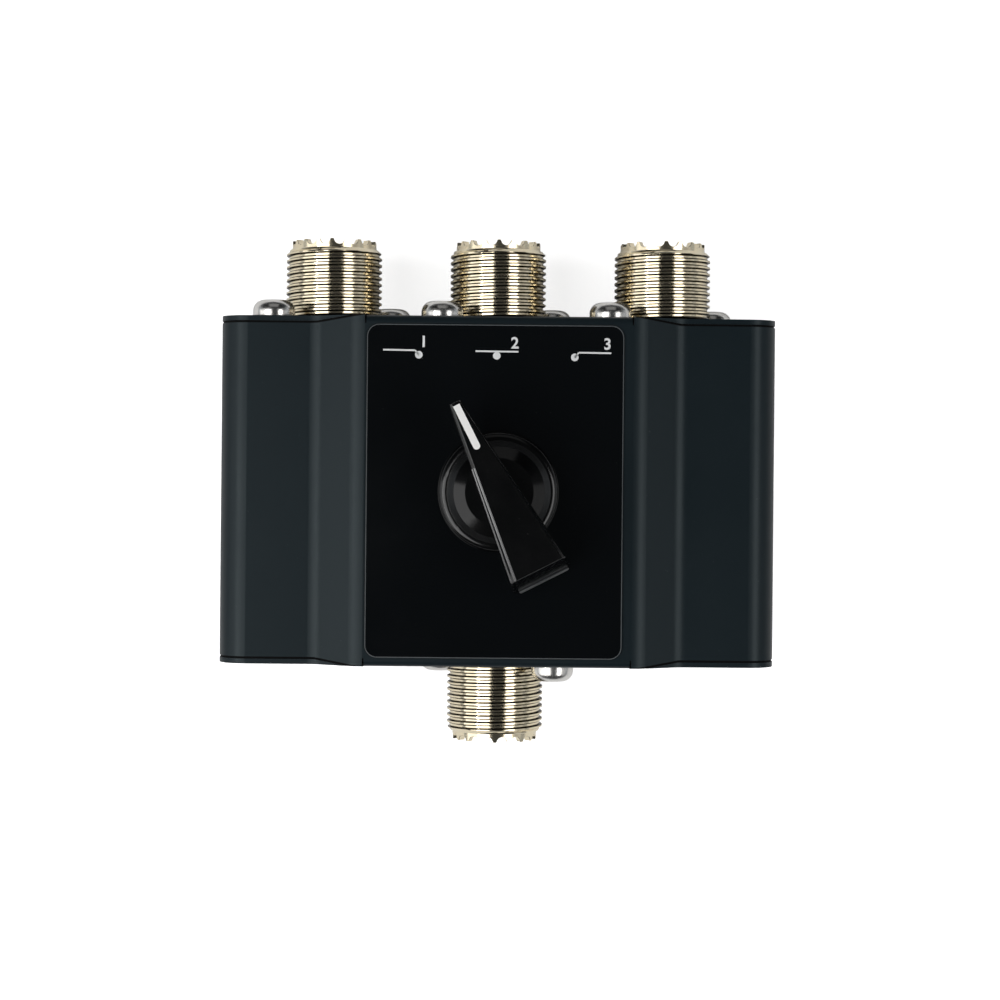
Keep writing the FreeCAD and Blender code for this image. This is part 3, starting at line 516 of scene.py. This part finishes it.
def along_pointer(at_tip, at_tail, y):
    """Value at y of a measure that changes evenly from the pointer's tip to its tail."""
    return at_tip + (at_tail - at_tip) * (pointer_tip - y) / (pointer_tip - pointer_tail)


def stepped_section(bevel):
    """Two flats with a step between them, over a bevel, as (outward, upward) points from the top's edge."""
    fall = math.tan(math.radians(flat_slope))
    towards_tail = (bevel - tip_bevel) / (tail_bevel - tip_bevel)
    wide = bevel + flat_outward * bevel
    start = -flat_inward * bevel
    middle = (flat_step_start - flat_step_spread * towards_tail) * wide
    after = (flat_step_end + flat_step_spread * towards_tail) * wide
    lower_start = lower_flat_raised - bevel_fall * after
    lower_end = lower_start - (wide - after) * fall
    upper_flat = [(start, -upper_flat_sunk - start * fall), (middle, -upper_flat_sunk - middle * fall)]
    lower_flat = [(after, lower_start), (wide, lower_end), (wide, lower_end - flat_edge_height)]
    # the other points lie inside the pointer
    inside = [(bevel - 0.02, lower_end - 0.3), (bevel - 0.15, -bevel_fall * bevel - 0.25)]
    inside.append((start - 0.02, -0.1))
    return upper_flat + lower_flat + inside


def pointer_matrix():
    return Matrix.Rotation(math.radians(pointer_turn), 4, "Z")


def pointer_flats():
    """Narrow moulded flats along both bevels of the pointer."""
    bm = bmesh.new()
    for side, start in ((-1, left_flats_start), (1, right_flats_start)):
        ends = []
        for y in (start, flats_end):
            bevel = along_pointer(tip_bevel, tail_bevel, y)
            edge = along_pointer(tip_half_width, tail_half_width, y) - bevel
            section = [(side * (edge + out), y, pointer_top + up) for out, up in stepped_section(bevel)]
            ends.append([bm.verts.new(pointer_matrix() @ Vector(point)) for point in section])
        loft(bm, ends)
    return object_from("pointer_flats", bm)


def pointer_heel():
    """Bead along the foot of the pointer's tail, pale grey as a painted highlight."""
    half = along_pointer(tip_half_width, tail_half_width, pointer_foot_tail)
    bm = bmesh.new()
    rings = []
    for side, inset, share in heel_rings:
        ring = []
        for step in range(heel_columns):
            angle = 2 * math.pi * step / heel_columns
            y = pointer_foot_tail - heel_out + heel_radius * share * math.cos(angle)
            z = pointer_foot_height + heel_up + heel_radius * share * math.sin(angle)
            ring.append(bm.verts.new(pointer_matrix() @ Vector((side * (half - inset), y, z))))
        rings.append(ring)
    loft(bm, rings)
    return object_from("pointer_heel_bead", bm, smooth_below=50)


# ---------------------------------------------------------------- print on the label


def border_line():
    """Thin line just inside the label's edge."""
    outer, inner = border_inset, border_inset + border_width
    bm = bmesh.new()
    rings = []
    for off, height in ((outer, 0), (outer, ink_thickness), (inner, ink_thickness), (inner, 0)):
        outline = round_rectangle(
            label_half_width - off, label_half_length - off, label_corner - off, label_centre_x
        )
        rings.append([bm.verts.new((x, y, label_top + height)) for x, y in outline])
    skin(bm, rings + rings[:1])
    return object_from("label_border_line", bm)


def figures(places, cap_height):
    """Plain numbers, one for each antenna."""
    made = bmesh.new()
    for text, x, y in places:
        curve = bpy.data.curves.new("figure", "FONT")
        curve.body = text
        curve.align_x = "CENTER"
        curve.size = cap_height * MM / cap_share
        curve.offset = figure_boldness * cap_height * MM
        curve.extrude = ink_thickness * MM / 2
        drawn = bpy.data.objects.new("figure", curve)
        scene.collection.objects.link(drawn)
        drawn.location = (x * MM, y * MM, (label_top + ink_thickness / 2) * MM)
        bpy.context.view_layer.update()
        graph = bpy.context.evaluated_depsgraph_get()
        mesh = bpy.data.meshes.new_from_object(drawn.evaluated_get(graph))
        mesh.transform(drawn.matrix_world)
        made.from_mesh(mesh)
        bpy.data.objects.remove(drawn)
        bpy.data.meshes.remove(mesh)
    bmesh.ops.remove_doubles(made, verts=made.verts, dist=0.001 * MM)
    bmesh.ops.scale(made, vec=(1 / MM, 1 / MM, 1 / MM), verts=made.verts)
    return object_from("label_figures", made)


def stroke(bm, start, end, width):
    """Straight printed line on the label."""
    start, end = Vector(start), Vector(end)
    along = (end - start).normalized()
    side = Vector((-along.y, along.x)) * (width / 2)
    outline = [start + side, start - side, end - side, end + side]
    plate(bm, [tuple(p) for p in outline], label_top, label_top + ink_thickness)


def dot(bm, x, y, radius):
    """Round printed dot on the label."""
    outline = []
    for step in range(dot_columns):
        angle = 2 * math.pi * step / dot_columns
        outline.append((x + radius * math.cos(angle), y + radius * math.sin(angle)))
    plate(bm, outline, label_top, label_top + ink_thickness)


def pointer_marks(marks, width, radius):
    """Underlines and dots that the pointer is set to."""
    bm = bmesh.new()
    for line, centre in marks:
        for start, end in zip(line, line[1:]):
            stroke(bm, start, end, width)
        dot(bm, *centre, radius)
    return object_from("label_pointer_marks", bm)


# ---------------------------------------------------------------- shader groups that the finishes share

speck_contrast = 18.0
wear_contrast = 12.0


def new_group(name, inputs, outputs):
    """Node group with float inputs {name: default} and outputs (name, type); gives its tree and its ends."""
    tree = bpy.data.node_groups.new(name, "ShaderNodeTree")
    for socket, default in inputs.items():
        made = tree.interface.new_socket(socket, in_out="INPUT", socket_type="NodeSocketFloat")
        made.default_value = default
    for socket, kind in outputs:
        tree.interface.new_socket(socket, in_out="OUTPUT", socket_type=kind)
    return tree, tree.nodes.new("NodeGroupInput"), tree.nodes.new("NodeGroupOutput")


def add_node(tree, kind, **settings):
    """Node of a kind; settings are its attributes, and names that are sockets set those sockets."""
    node = tree.nodes.new(kind)
    for key, value in settings.items():
        if hasattr(node, key):
            setattr(node, key, value)
        else:
            node.inputs[key.replace("_", " ").title()].default_value = value
    return node


def ramp_node(tree, start, end, low, high, smooth=False):
    """Map Range node that gives low at start and high at end."""
    node = add_node(tree, "ShaderNodeMapRange")
    if smooth:
        node.interpolation_type = "SMOOTHSTEP"
    for socket, value in (("From Min", start), ("From Max", end), ("To Min", low), ("To Max", high)):
        node.inputs[socket].default_value = value
    return node


def grain_group():
    """Fine unevenness of a coated or moulded surface: a height and a slow mottle."""
    tree, given, out = new_group(
        "surface_grain",
        {"Fine Scale": 2500.0, "Mottle Scale": 120.0},
        [("Height", "NodeSocketFloat"), ("Mottle", "NodeSocketFloat")],
    )
    place = add_node(tree, "ShaderNodeTexCoord")
    fine = add_node(tree, "ShaderNodeTexNoise", detail=3.0, roughness=0.55)
    slow = add_node(tree, "ShaderNodeTexNoise", detail=4.0, roughness=0.6)
    tree.links.new(place.outputs["Object"], fine.inputs["Vector"])
    tree.links.new(place.outputs["Object"], slow.inputs["Vector"])
    tree.links.new(given.outputs["Fine Scale"], fine.inputs["Scale"])
    tree.links.new(given.outputs["Mottle Scale"], slow.inputs["Scale"])
    tree.links.new(fine.outputs["Fac"], out.inputs["Height"])
    tree.links.new(slow.outputs["Fac"], out.inputs["Mottle"])
    return tree


def specks_group():
    """Sparse small specks, as of settled dust, on faces that look up."""
    tree, given, out = new_group(
        "settled_dust",
        {"Scale": 900.0, "Threshold": 0.72},
        [("Mask", "NodeSocketFloat")],
    )
    place = add_node(tree, "ShaderNodeTexCoord")
    noise = add_node(tree, "ShaderNodeTexNoise", detail=1.0, roughness=0.4)
    facing = add_node(tree, "ShaderNodeNewGeometry")
    split = add_node(tree, "ShaderNodeSeparateXYZ")
    above = add_node(tree, "ShaderNodeMath", operation="SUBTRACT")
    sharpen = add_node(tree, "ShaderNodeMath", operation="MULTIPLY", use_clamp=True)
    sharpen.inputs[1].default_value = speck_contrast
    lift = add_node(tree, "ShaderNodeMath", operation="MULTIPLY", use_clamp=True)
    links = tree.links
    links.new(place.outputs["Object"], noise.inputs["Vector"])
    links.new(given.outputs["Scale"], noise.inputs["Scale"])
    links.new(noise.outputs["Fac"], above.inputs[0])
    links.new(given.outputs["Threshold"], above.inputs[1])
    links.new(above.outputs[0], sharpen.inputs[0])
    links.new(facing.outputs["Normal"], split.inputs[0])
    links.new(sharpen.outputs[0], lift.inputs[0])
    links.new(split.outputs["Z"], lift.inputs[1])
    links.new(lift.outputs[0], out.inputs["Mask"])
    return tree


def scratches_group():
    """Fine rubbed lines in one direction, broken up so that few run far."""
    tree, given, out = new_group(
        "rubbed_lines",
        {"Along Scale": 60.0, "Across Scale": 2600.0},
        [("Mask", "NodeSocketFloat")],
    )
    place = add_node(tree, "ShaderNodeTexCoord")
    spread = add_node(tree, "ShaderNodeCombineXYZ")
    stretch = add_node(tree, "ShaderNodeVectorMath", operation="MULTIPLY")
    noise = add_node(tree, "ShaderNodeTexNoise", scale=1.0, detail=2.0)
    ramp = ramp_node(tree, start=0.5, end=0.8, low=0.0, high=1.0)
    links = tree.links
    links.new(given.outputs["Along Scale"], spread.inputs["X"])
    links.new(given.outputs["Across Scale"], spread.inputs["Y"])
    links.new(given.outputs["Across Scale"], spread.inputs["Z"])
    links.new(place.outputs["Object"], stretch.inputs[0])
    links.new(spread.outputs[0], stretch.inputs[1])
    links.new(stretch.outputs[0], noise.inputs["Vector"])
    links.new(noise.outputs["Fac"], ramp.inputs["Value"])
    links.new(ramp.outputs["Result"], out.inputs["Mask"])
    return tree


def edge_wear_group():
    """Mask of outer edges, broken up by noise."""
    tree, given, out = new_group(
        "edge_wear",
        {"Sharpness": 0.54, "Scale": 700.0},
        [("Mask", "NodeSocketFloat")],
    )
    shape = add_node(tree, "ShaderNodeNewGeometry")
    place = add_node(tree, "ShaderNodeTexCoord")
    noise = add_node(tree, "ShaderNodeTexNoise", detail=3.0)
    above = add_node(tree, "ShaderNodeMath", operation="SUBTRACT")
    gain = add_node(tree, "ShaderNodeMath", operation="MULTIPLY", use_clamp=True)
    gain.inputs[1].default_value = wear_contrast
    broken = add_node(tree, "ShaderNodeMath", operation="MULTIPLY", use_clamp=True)
    links = tree.links
    links.new(shape.outputs["Pointiness"], above.inputs[0])
    links.new(given.outputs["Sharpness"], above.inputs[1])
    links.new(above.outputs[0], gain.inputs[0])
    links.new(place.outputs["Object"], noise.inputs["Vector"])
    links.new(given.outputs["Scale"], noise.inputs["Scale"])
    links.new(gain.outputs[0], broken.inputs[0])
    links.new(noise.outputs["Fac"], broken.inputs[1])
    links.new(broken.outputs[0], out.inputs["Mask"])
    return tree


def thread_flank_shade_group():
    """Mask for painted shade on the flanks of the jacks' threads; it falls off towards their crests and
    roots.
    """
    tree, given, out = new_group(
        "thread_flank_shade",
        {"Crest Radius": 0.0079, "Root Radius": 0.0074},
        [("Mask", "NodeSocketFloat")],
    )
    place = add_node(tree, "ShaderNodeTexCoord")
    split = add_node(tree, "ShaderNodeSeparateXYZ")
    across = add_node(tree, "ShaderNodeMath", operation="WRAP")
    across.inputs[1].default_value = -jack_spacing / 2 * MM
    across.inputs[2].default_value = jack_spacing / 2 * MM
    up = add_node(tree, "ShaderNodeMath", operation="SUBTRACT")
    up.inputs[1].default_value = jack_axis_height * MM
    radial = add_node(tree, "ShaderNodeCombineXYZ")
    length = add_node(tree, "ShaderNodeVectorMath", operation="LENGTH")
    depth = add_node(tree, "ShaderNodeMapRange")
    off_middle = add_node(tree, "ShaderNodeMath", operation="SUBTRACT")
    off_middle.inputs[1].default_value = 0.5
    size = add_node(tree, "ShaderNodeMath", operation="ABSOLUTE")
    flank = ramp_node(tree, start=0.5, end=0.36, low=0.0, high=1.0, smooth=True)
    along = add_node(tree, "ShaderNodeMath", operation="ABSOLUTE")
    threaded = add_node(tree, "ShaderNodeMath", operation="LESS_THAN")
    threaded.inputs[1].default_value = (wall_inner_y + thread_ends_at - flank_shade_stops_short) * MM
    both = add_node(tree, "ShaderNodeMath", operation="MULTIPLY")
    links = tree.links
    links.new(place.outputs["Object"], split.inputs[0])
    links.new(split.outputs["X"], across.inputs[0])
    links.new(split.outputs["Z"], up.inputs[0])
    links.new(across.outputs[0], radial.inputs["X"])
    links.new(up.outputs[0], radial.inputs["Z"])
    links.new(radial.outputs[0], length.inputs[0])
    links.new(length.outputs["Value"], depth.inputs["Value"])
    links.new(given.outputs["Root Radius"], depth.inputs["From Min"])
    links.new(given.outputs["Crest Radius"], depth.inputs["From Max"])
    links.new(depth.outputs["Result"], off_middle.inputs[0])
    links.new(off_middle.outputs[0], size.inputs[0])
    links.new(size.outputs[0], flank.inputs["Value"])
    links.new(split.outputs["Y"], along.inputs[0])
    links.new(along.outputs[0], threaded.inputs[0])
    links.new(flank.outputs["Result"], both.inputs[0])
    links.new(threaded.outputs[0], both.inputs[1])
    links.new(both.outputs[0], out.inputs["Mask"])
    return tree


surface_grain = grain_group()
settled_dust = specks_group()
rubbed_lines = scratches_group()
edge_wear = edge_wear_group()
thread_flank_shade = thread_flank_shade_group()

# ---------------------------------------------------------------- finishes


class Finish:
    """A material under construction: its shader, and the few steps that every finish repeats."""

    def __init__(self, name, color, roughness, **sockets):
        self.material = bpy.data.materials.new(name)
        self.material.use_nodes = True
        self.tree = self.material.node_tree
        self.shader = self.tree.nodes["Principled BSDF"]
        self.color = (*color, 1.0)
        self.shader.inputs["Base Color"].default_value = self.color
        self.shader.inputs["Roughness"].default_value = roughness
        for socket, value in sockets.items():
            self.shader.inputs[socket.replace("_", " ")].default_value = value

    def group(self, tree, **values):
        node = self.tree.nodes.new("ShaderNodeGroup")
        node.node_tree = tree
        for socket, value in values.items():
            node.inputs[socket.replace("_", " ")].default_value = value
        return node

    def vary_roughness(self, fac, low, high):
        ramp = ramp_node(self.tree, start=0.3, end=0.7, low=low, high=high)
        self.tree.links.new(fac, ramp.inputs["Value"])
        self.tree.links.new(ramp.outputs["Result"], self.shader.inputs["Roughness"])

    def tint(self, fac, other):
        """Mixes another colour over what the base colour is so far."""
        mix = add_node(self.tree, "ShaderNodeMix", data_type="RGBA")
        socket = self.shader.inputs["Base Color"]
        mix.inputs[6].default_value = self.color
        mix.inputs[7].default_value = (*other, 1.0)
        if socket.links:
            self.tree.links.new(socket.links[0].from_socket, mix.inputs[6])
        self.tree.links.new(fac, mix.inputs[0])
        self.tree.links.new(mix.outputs[2], socket)

    def scaled(self, fac, amount):
        node = add_node(self.tree, "ShaderNodeMath", operation="MULTIPLY")
        node.inputs[1].default_value = amount
        self.tree.links.new(fac, node.inputs[0])
        return node.outputs[0]

    def bump(self, height, strength, distance_mm):
        node = add_node(self.tree, "ShaderNodeBump")
        node.inputs["Strength"].default_value = strength
        node.inputs["Distance"].default_value = distance_mm * MM
        self.tree.links.new(height, node.inputs["Height"])
        self.tree.links.new(node.outputs["Normal"], self.shader.inputs["Normal"])


def satin_black_paint():
    """Stoved paint on steel sheet: soft sheen, faint orange peel, a little dust."""
    f = Finish("satin_black_paint", (0.006, 0.0112, 0.0145), 0.34, Specular_IOR_Level=0.25)
    f.shader.inputs["Specular Tint"].default_value = (0.85, 0.97, 1.0, 1.0)
    grain = f.group(surface_grain, Fine_Scale=1800.0, Mottle_Scale=55.0)
    f.vary_roughness(grain.outputs["Mottle"], low=0.32, high=0.37)
    f.tint(f.scaled(grain.outputs["Mottle"], 0.3), (0.0085, 0.0145, 0.0185))
    dust = f.group(settled_dust, Scale=1900.0, Threshold=0.77)
    f.tint(f.scaled(dust.outputs["Mask"], 0.15), (0.09, 0.095, 0.1))
    f.bump(grain.outputs["Height"], strength=0.35, distance_mm=0.012)
    return f.material


def painted_slit_shade():
    """Near-black matt finish down in the slits, where little light gets in: painted shade."""
    f = Finish("painted_slit_shade", (0.0012, 0.0014, 0.0016), 0.6, Specular_IOR_Level=0.08)
    grain = f.group(surface_grain, Fine_Scale=1800.0, Mottle_Scale=300.0)
    f.vary_roughness(grain.outputs["Mottle"], low=0.55, high=0.7)
    f.bump(grain.outputs["Height"], strength=0.3, distance_mm=0.01)
    return f.material


def black_zinc():
    """Blackened zinc plate, with bright metal where the edges rub."""
    f = Finish("black_zinc", (0.028, 0.029, 0.032), 0.34, Metallic=0.85)
    grain = f.group(surface_grain, Fine_Scale=2600.0, Mottle_Scale=500.0)
    f.vary_roughness(grain.outputs["Mottle"], low=0.28, high=0.42)
    wear = f.group(edge_wear, Sharpness=0.56, Scale=1400.0)
    f.tint(f.scaled(wear.outputs["Mask"], 0.5), (0.3, 0.3, 0.31))
    f.bump(grain.outputs["Height"], strength=0.2, distance_mm=0.008)
    return f.material


def label_film():
    """Glossy printed film, with faint handling marks and dust."""
    f = Finish("label_film", (0.0022, 0.003, 0.0037), 0.11, Specular_IOR_Level=0.45)
    grain = f.group(surface_grain, Fine_Scale=900.0, Mottle_Scale=40.0)
    f.vary_roughness(grain.outputs["Mottle"], low=0.08, high=0.16)
    dust = f.group(settled_dust, Scale=2600.0, Threshold=0.80)
    f.tint(f.scaled(dust.outputs["Mask"], 0.08), (0.16, 0.16, 0.16))
    f.bump(grain.outputs["Height"], strength=0.12, distance_mm=0.01)
    return f.material


def plated(name, color, low, high, tarnish, tarnish_color, shaded_thread_flanks=False):
    """Bright plated metal: fine turning lines, uneven gloss and a breath of tarnish."""
    f = Finish(name, color, low, Metallic=1.0)
    grain = f.group(surface_grain, Fine_Scale=3200.0, Mottle_Scale=260.0)
    f.vary_roughness(grain.outputs["Mottle"], low, high)
    f.tint(f.scaled(grain.outputs["Mottle"], tarnish), tarnish_color)
    if shaded_thread_flanks:
        root = thread_radius - thread_depth
        flank_shade = f.group(thread_flank_shade, Crest_Radius=thread_radius * MM, Root_Radius=root * MM)
        # painted shade: the thread flanks darkened to a deep brown
        f.tint(f.scaled(flank_shade.outputs["Mask"], 0.96), (0.035, 0.028, 0.02))
    lines = f.group(rubbed_lines, Along_Scale=120.0, Across_Scale=3000.0)
    f.bump(lines.outputs["Mask"], strength=0.08, distance_mm=0.006)
    return f.material


def moulded(name, color, low, high, speckle):
    """Moulded plastic: even colour with a slow mottle and a fine skin."""
    f = Finish(name, color, low)
    grain = f.group(surface_grain, Fine_Scale=2200.0, Mottle_Scale=180.0)
    f.vary_roughness(grain.outputs["Mottle"], low, high)
    f.tint(f.scaled(grain.outputs["Mottle"], 0.4), speckle)
    f.bump(grain.outputs["Height"], strength=0.2, distance_mm=0.006)
    return f.material


def knob_plastic(name, low, high):
    """Glossy black moulding with a few specks of dust."""
    f = Finish(name, (0.0018, 0.002, 0.0022), low, Specular_IOR_Level=0.5)
    grain = f.group(surface_grain, Fine_Scale=700.0, Mottle_Scale=160.0)
    f.vary_roughness(grain.outputs["Mottle"], low, high)
    dust = f.group(settled_dust, Scale=2200.0, Threshold=0.79)
    f.tint(f.scaled(dust.outputs["Mask"], 0.2), (0.12, 0.12, 0.12))
    wear = f.group(edge_wear, Sharpness=0.57, Scale=1100.0)
    f.tint(f.scaled(wear.outputs["Mask"], 0.12), (0.05, 0.05, 0.05))
    f.bump(grain.outputs["Height"], strength=0.05, distance_mm=0.008)
    return f.material


def laminate():
    """Brown paper laminate with a faint weave."""
    f = Finish("laminate", (0.30, 0.13, 0.045), 0.45)
    lines = f.group(rubbed_lines, Along_Scale=300.0, Across_Scale=2200.0)
    f.tint(f.scaled(lines.outputs["Mask"], 0.5), (0.18, 0.075, 0.028))
    f.bump(lines.outputs["Mask"], strength=0.2, distance_mm=0.01)
    return f.material


nickel = plated("jack_nickel", (0.93, 0.83, 0.615), 0.12, 0.2, 0.35, (0.85, 0.71, 0.475), shaded_thread_flanks=True)
finishes = {
    "black_paint": satin_black_paint(),
    "black_zinc": black_zinc(),
    "label_film": label_film(),
    "jack_nickel": nickel,
    "jack_insulator": moulded("jack_insulator", (0.83, 0.81, 0.76), 0.38, 0.5, (0.76, 0.73, 0.66)),
    "contact_brass": plated("contact_brass", (0.86, 0.66, 0.33), 0.2, 0.32, 0.5, (0.68, 0.46, 0.2)),
    "nickel_screw": plated("nickel_screw", (0.83, 0.815, 0.79), 0.16, 0.28, 0.3, (0.66, 0.64, 0.6)),
    "steel_plain": plated("steel_plain", (0.62, 0.63, 0.64), 0.28, 0.42, 0.4, (0.5, 0.5, 0.5)),
    "zinc_casting": plated("zinc_casting", (0.6, 0.61, 0.62), 0.42, 0.58, 0.5, (0.48, 0.49, 0.5)),
    "index_nylon": moulded("index_nylon", (0.76, 0.73, 0.62), 0.4, 0.55, (0.7, 0.66, 0.54)),
    "laminate": laminate(),
    "rotor_plastic": moulded("rotor_plastic", (0.62, 0.6, 0.54), 0.4, 0.55, (0.55, 0.53, 0.46)),
    "tinned_copper": plated("tinned_copper", (0.74, 0.72, 0.68), 0.3, 0.45, 0.4, (0.6, 0.57, 0.52)),
    "knob_plastic": knob_plastic("knob_plastic", 0.13, 0.2),
    "pointer_white": moulded("pointer_white", (0.95, 0.945, 0.925), 0.4, 0.55, (0.9, 0.89, 0.86)),
}
label_ink = moulded("label_ink", (0.84, 0.85, 0.85), 0.4, 0.5, (0.76, 0.77, 0.78))
polished_edge = knob_plastic("polished_edge", 0.05, 0.09)
# pale grey for the heel bead: a painted highlight along the foot of the pointer's tail
painted_heel_highlight = moulded("painted_heel_highlight", (0.06, 0.064, 0.066), 0.3, 0.4, (0.035, 0.037, 0.039))
border_ink = moulded("border_ink", (0.075, 0.085, 0.09), 0.35, 0.45, (0.06, 0.068, 0.072))
finish_of_node = {entry["node"]: entry["material_slot"] for entry in frame["record"]["subparts"]}


def dress(piece, material, body, slot, *replaced):
    """Gives a new piece its material and its body, and hides the CAD nodes that it stands for; slot is not
    used.
    """
    piece.data.materials.clear()
    piece.data.materials.append(material)
    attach(piece, body)
    if replaced:
        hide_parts(*replaced)


for node, obj in frame["nodes"].items():
    obj.data.materials.clear()
    obj.data.materials.append(finishes[finish_of_node[node]])

# ---------------------------------------------------------------- the pieces

for jack_name, jack_x, end in jacks:
    shell = threaded_shell(f"{jack_name}_threaded_shell", jack_x, end)
    dress(shell, nickel, "case", "jack_nickel", f"{jack_name}_jack_shell")

screws = screw_set("cross_recessed_jack_screws", jack_head, jack_screw_places())
dress(screws, finishes["nickel_screw"], "case", "nickel_screw", "jack_screws")
screws = screw_set("cross_recessed_tray_screws", tray_head, tray_screw_places())
dress(screws, finishes["black_zinc"], "case", "black_zinc", "tray_screws")

# slit fill in near-black matt: painted shade of the gaps
dress(filled_slits(), painted_slit_shade(), "case", "black_paint")

dress(pointer_flats(), polished_edge, "selector", "knob_plastic")
dress(pointer_heel(), painted_heel_highlight, "selector", "knob_plastic")

dress(border_line(), border_ink, "case", "label_film")
figure_places = [("1", -11.95, 22.75), ("2", 2.45, 22.65), ("3", 17.05, 22.6)]
dress(figures(figure_places, figure_height), label_ink, "case", "label_film")
marks = [
    ([(-18.35, 22.25), (-13.3, 22.2), (-12.7, 21.5)], (-12.7, 21.5)),
    ([(-3.75, 22.15), (3.0, 22.1)], (-0.4, 21.45)),
    ([(11.9, 21.3), (12.55, 22.05), (17.65, 22.0)], (11.9, 21.3)),
]
dress(pointer_marks(marks, mark_width, dot_radius), label_ink, "case", "label_film")

# ---------------------------------------------------------------- floor, light and camera


def floor():
    """Plain pale floor under the part."""
    bm = bmesh.new()
    bmesh.ops.create_grid(bm, x_segments=8, y_segments=8, size=floor_half)
    ground = object_from("floor", bm)
    f = Finish("pale_floor", (0.93, 0.93, 0.93), 0.6, Emission_Color=(1.0, 1.0, 1.0, 1.0))
    grain = f.group(surface_grain, Fine_Scale=300.0, Mottle_Scale=8.0)
    f.vary_roughness(grain.outputs["Mottle"], low=0.55, high=0.7)
    f.tint(f.scaled(grain.outputs["Mottle"], 0.2), (0.9, 0.9, 0.895))
    seen = add_node(f.tree, "ShaderNodeLightPath")
    glow = f.scaled(seen.outputs["Is Camera Ray"], floor_glow)
    f.tree.links.new(glow, f.shader.inputs["Emission Strength"])
    ground.data.materials.append(f.material)


softboxes = [  # name, place in metres, (level, upright) size, radiance
    ("left_high_softbox", (-0.47, -0.34, 0.99), (1.1, 0.5), 2.7),
    ("left_low_softbox", (-0.93, -0.36, 0.58), (1.1, 0.8), 1.3),
    ("left_strip_softbox", (-0.716, -0.36, 0.809), (1.1, 0.065), 7.5),
    ("right_high_softbox", (0.664, -0.34, 0.873), (1.1, 0.417), 2.8),
    ("right_low_softbox", (0.93, -0.36, 0.58), (1.1, 0.71), 0.35),
    ("front_softbox", (0.0, -0.95, 0.8), (1.0, 0.8), 0.03),
    ("back_softbox", (0.0, 0.95, 0.8), (1.0, 0.8), 0.2),
]


def softbox(name, place, size, radiance):
    """Oblong soft light that faces the part's middle line."""
    light = bpy.data.lights.new(name, "AREA")
    light.shape = "RECTANGLE"
    light.size, light.size_y = size
    light.energy = radiance * math.pi * size[0] * size[1]
    lamp = bpy.data.objects.new(name, light)
    lamp.location = place
    lamp.visible_camera = False
    lamp.rotation_mode = "QUATERNION"
    x, y, z = place
    facing = Vector((-x, 0, -z)) if x else Vector((0, -y, -z))
    lamp.rotation_quaternion = facing.to_track_quat("-Z", "Y")
    scene.collection.objects.link(lamp)


def studio():
    """Dim surround that is paler near the floor, and the softboxes."""
    world = bpy.data.worlds.new("studio")
    scene.world = world
    world.use_nodes = True
    tree = world.node_tree
    background = tree.nodes["Background"]
    background.inputs["Color"].default_value = (0.9, 0.95, 1.0, 1.0)
    direction = add_node(tree, "ShaderNodeTexCoord")
    split = add_node(tree, "ShaderNodeSeparateXYZ")
    paler = ramp_node(tree, start=0.05, end=0.5, low=0.45, high=0.04, smooth=True)
    forward = ramp_node(tree, start=-0.75, end=0.1, low=0.15, high=1.0, smooth=True)
    behind = ramp_node(tree, start=0.25, end=0.6, low=1.0, high=0.15, smooth=True)
    ends = add_node(tree, "ShaderNodeMath", operation="MULTIPLY")
    strength = add_node(tree, "ShaderNodeMath", operation="MULTIPLY")
    tree.links.new(direction.outputs["Generated"], split.inputs[0])
    tree.links.new(split.outputs["Z"], paler.inputs["Value"])
    tree.links.new(split.outputs["Y"], forward.inputs["Value"])
    tree.links.new(split.outputs["Y"], behind.inputs["Value"])
    tree.links.new(forward.outputs["Result"], ends.inputs[0])
    tree.links.new(behind.outputs["Result"], ends.inputs[1])
    tree.links.new(paler.outputs["Result"], strength.inputs[0])
    tree.links.new(ends.outputs[0], strength.inputs[1])
    tree.links.new(strength.outputs[0], background.inputs["Strength"])
    for values in softboxes:
        softbox(*values)
    scene.view_settings.view_transform = "Standard"
    scene.view_settings.look = "None"


def camera():
    """Straight down on the part, turned a little, with a small shift that frames it."""
    data = bpy.data.cameras.new("view_from_above")
    data.lens = camera_lens
    data.sensor_width = 36.0
    data.shift_x, data.shift_y = camera_shift
    data.clip_start = 0.01
    data.clip_end = 20.0
    eye = bpy.data.objects.new("view_from_above", data)
    eye.location = camera_place
    eye.rotation_euler = (0.0, 0.0, math.radians(camera_turn))
    scene.collection.objects.link(eye)
    scene.camera = eye


floor()
studio()
camera()
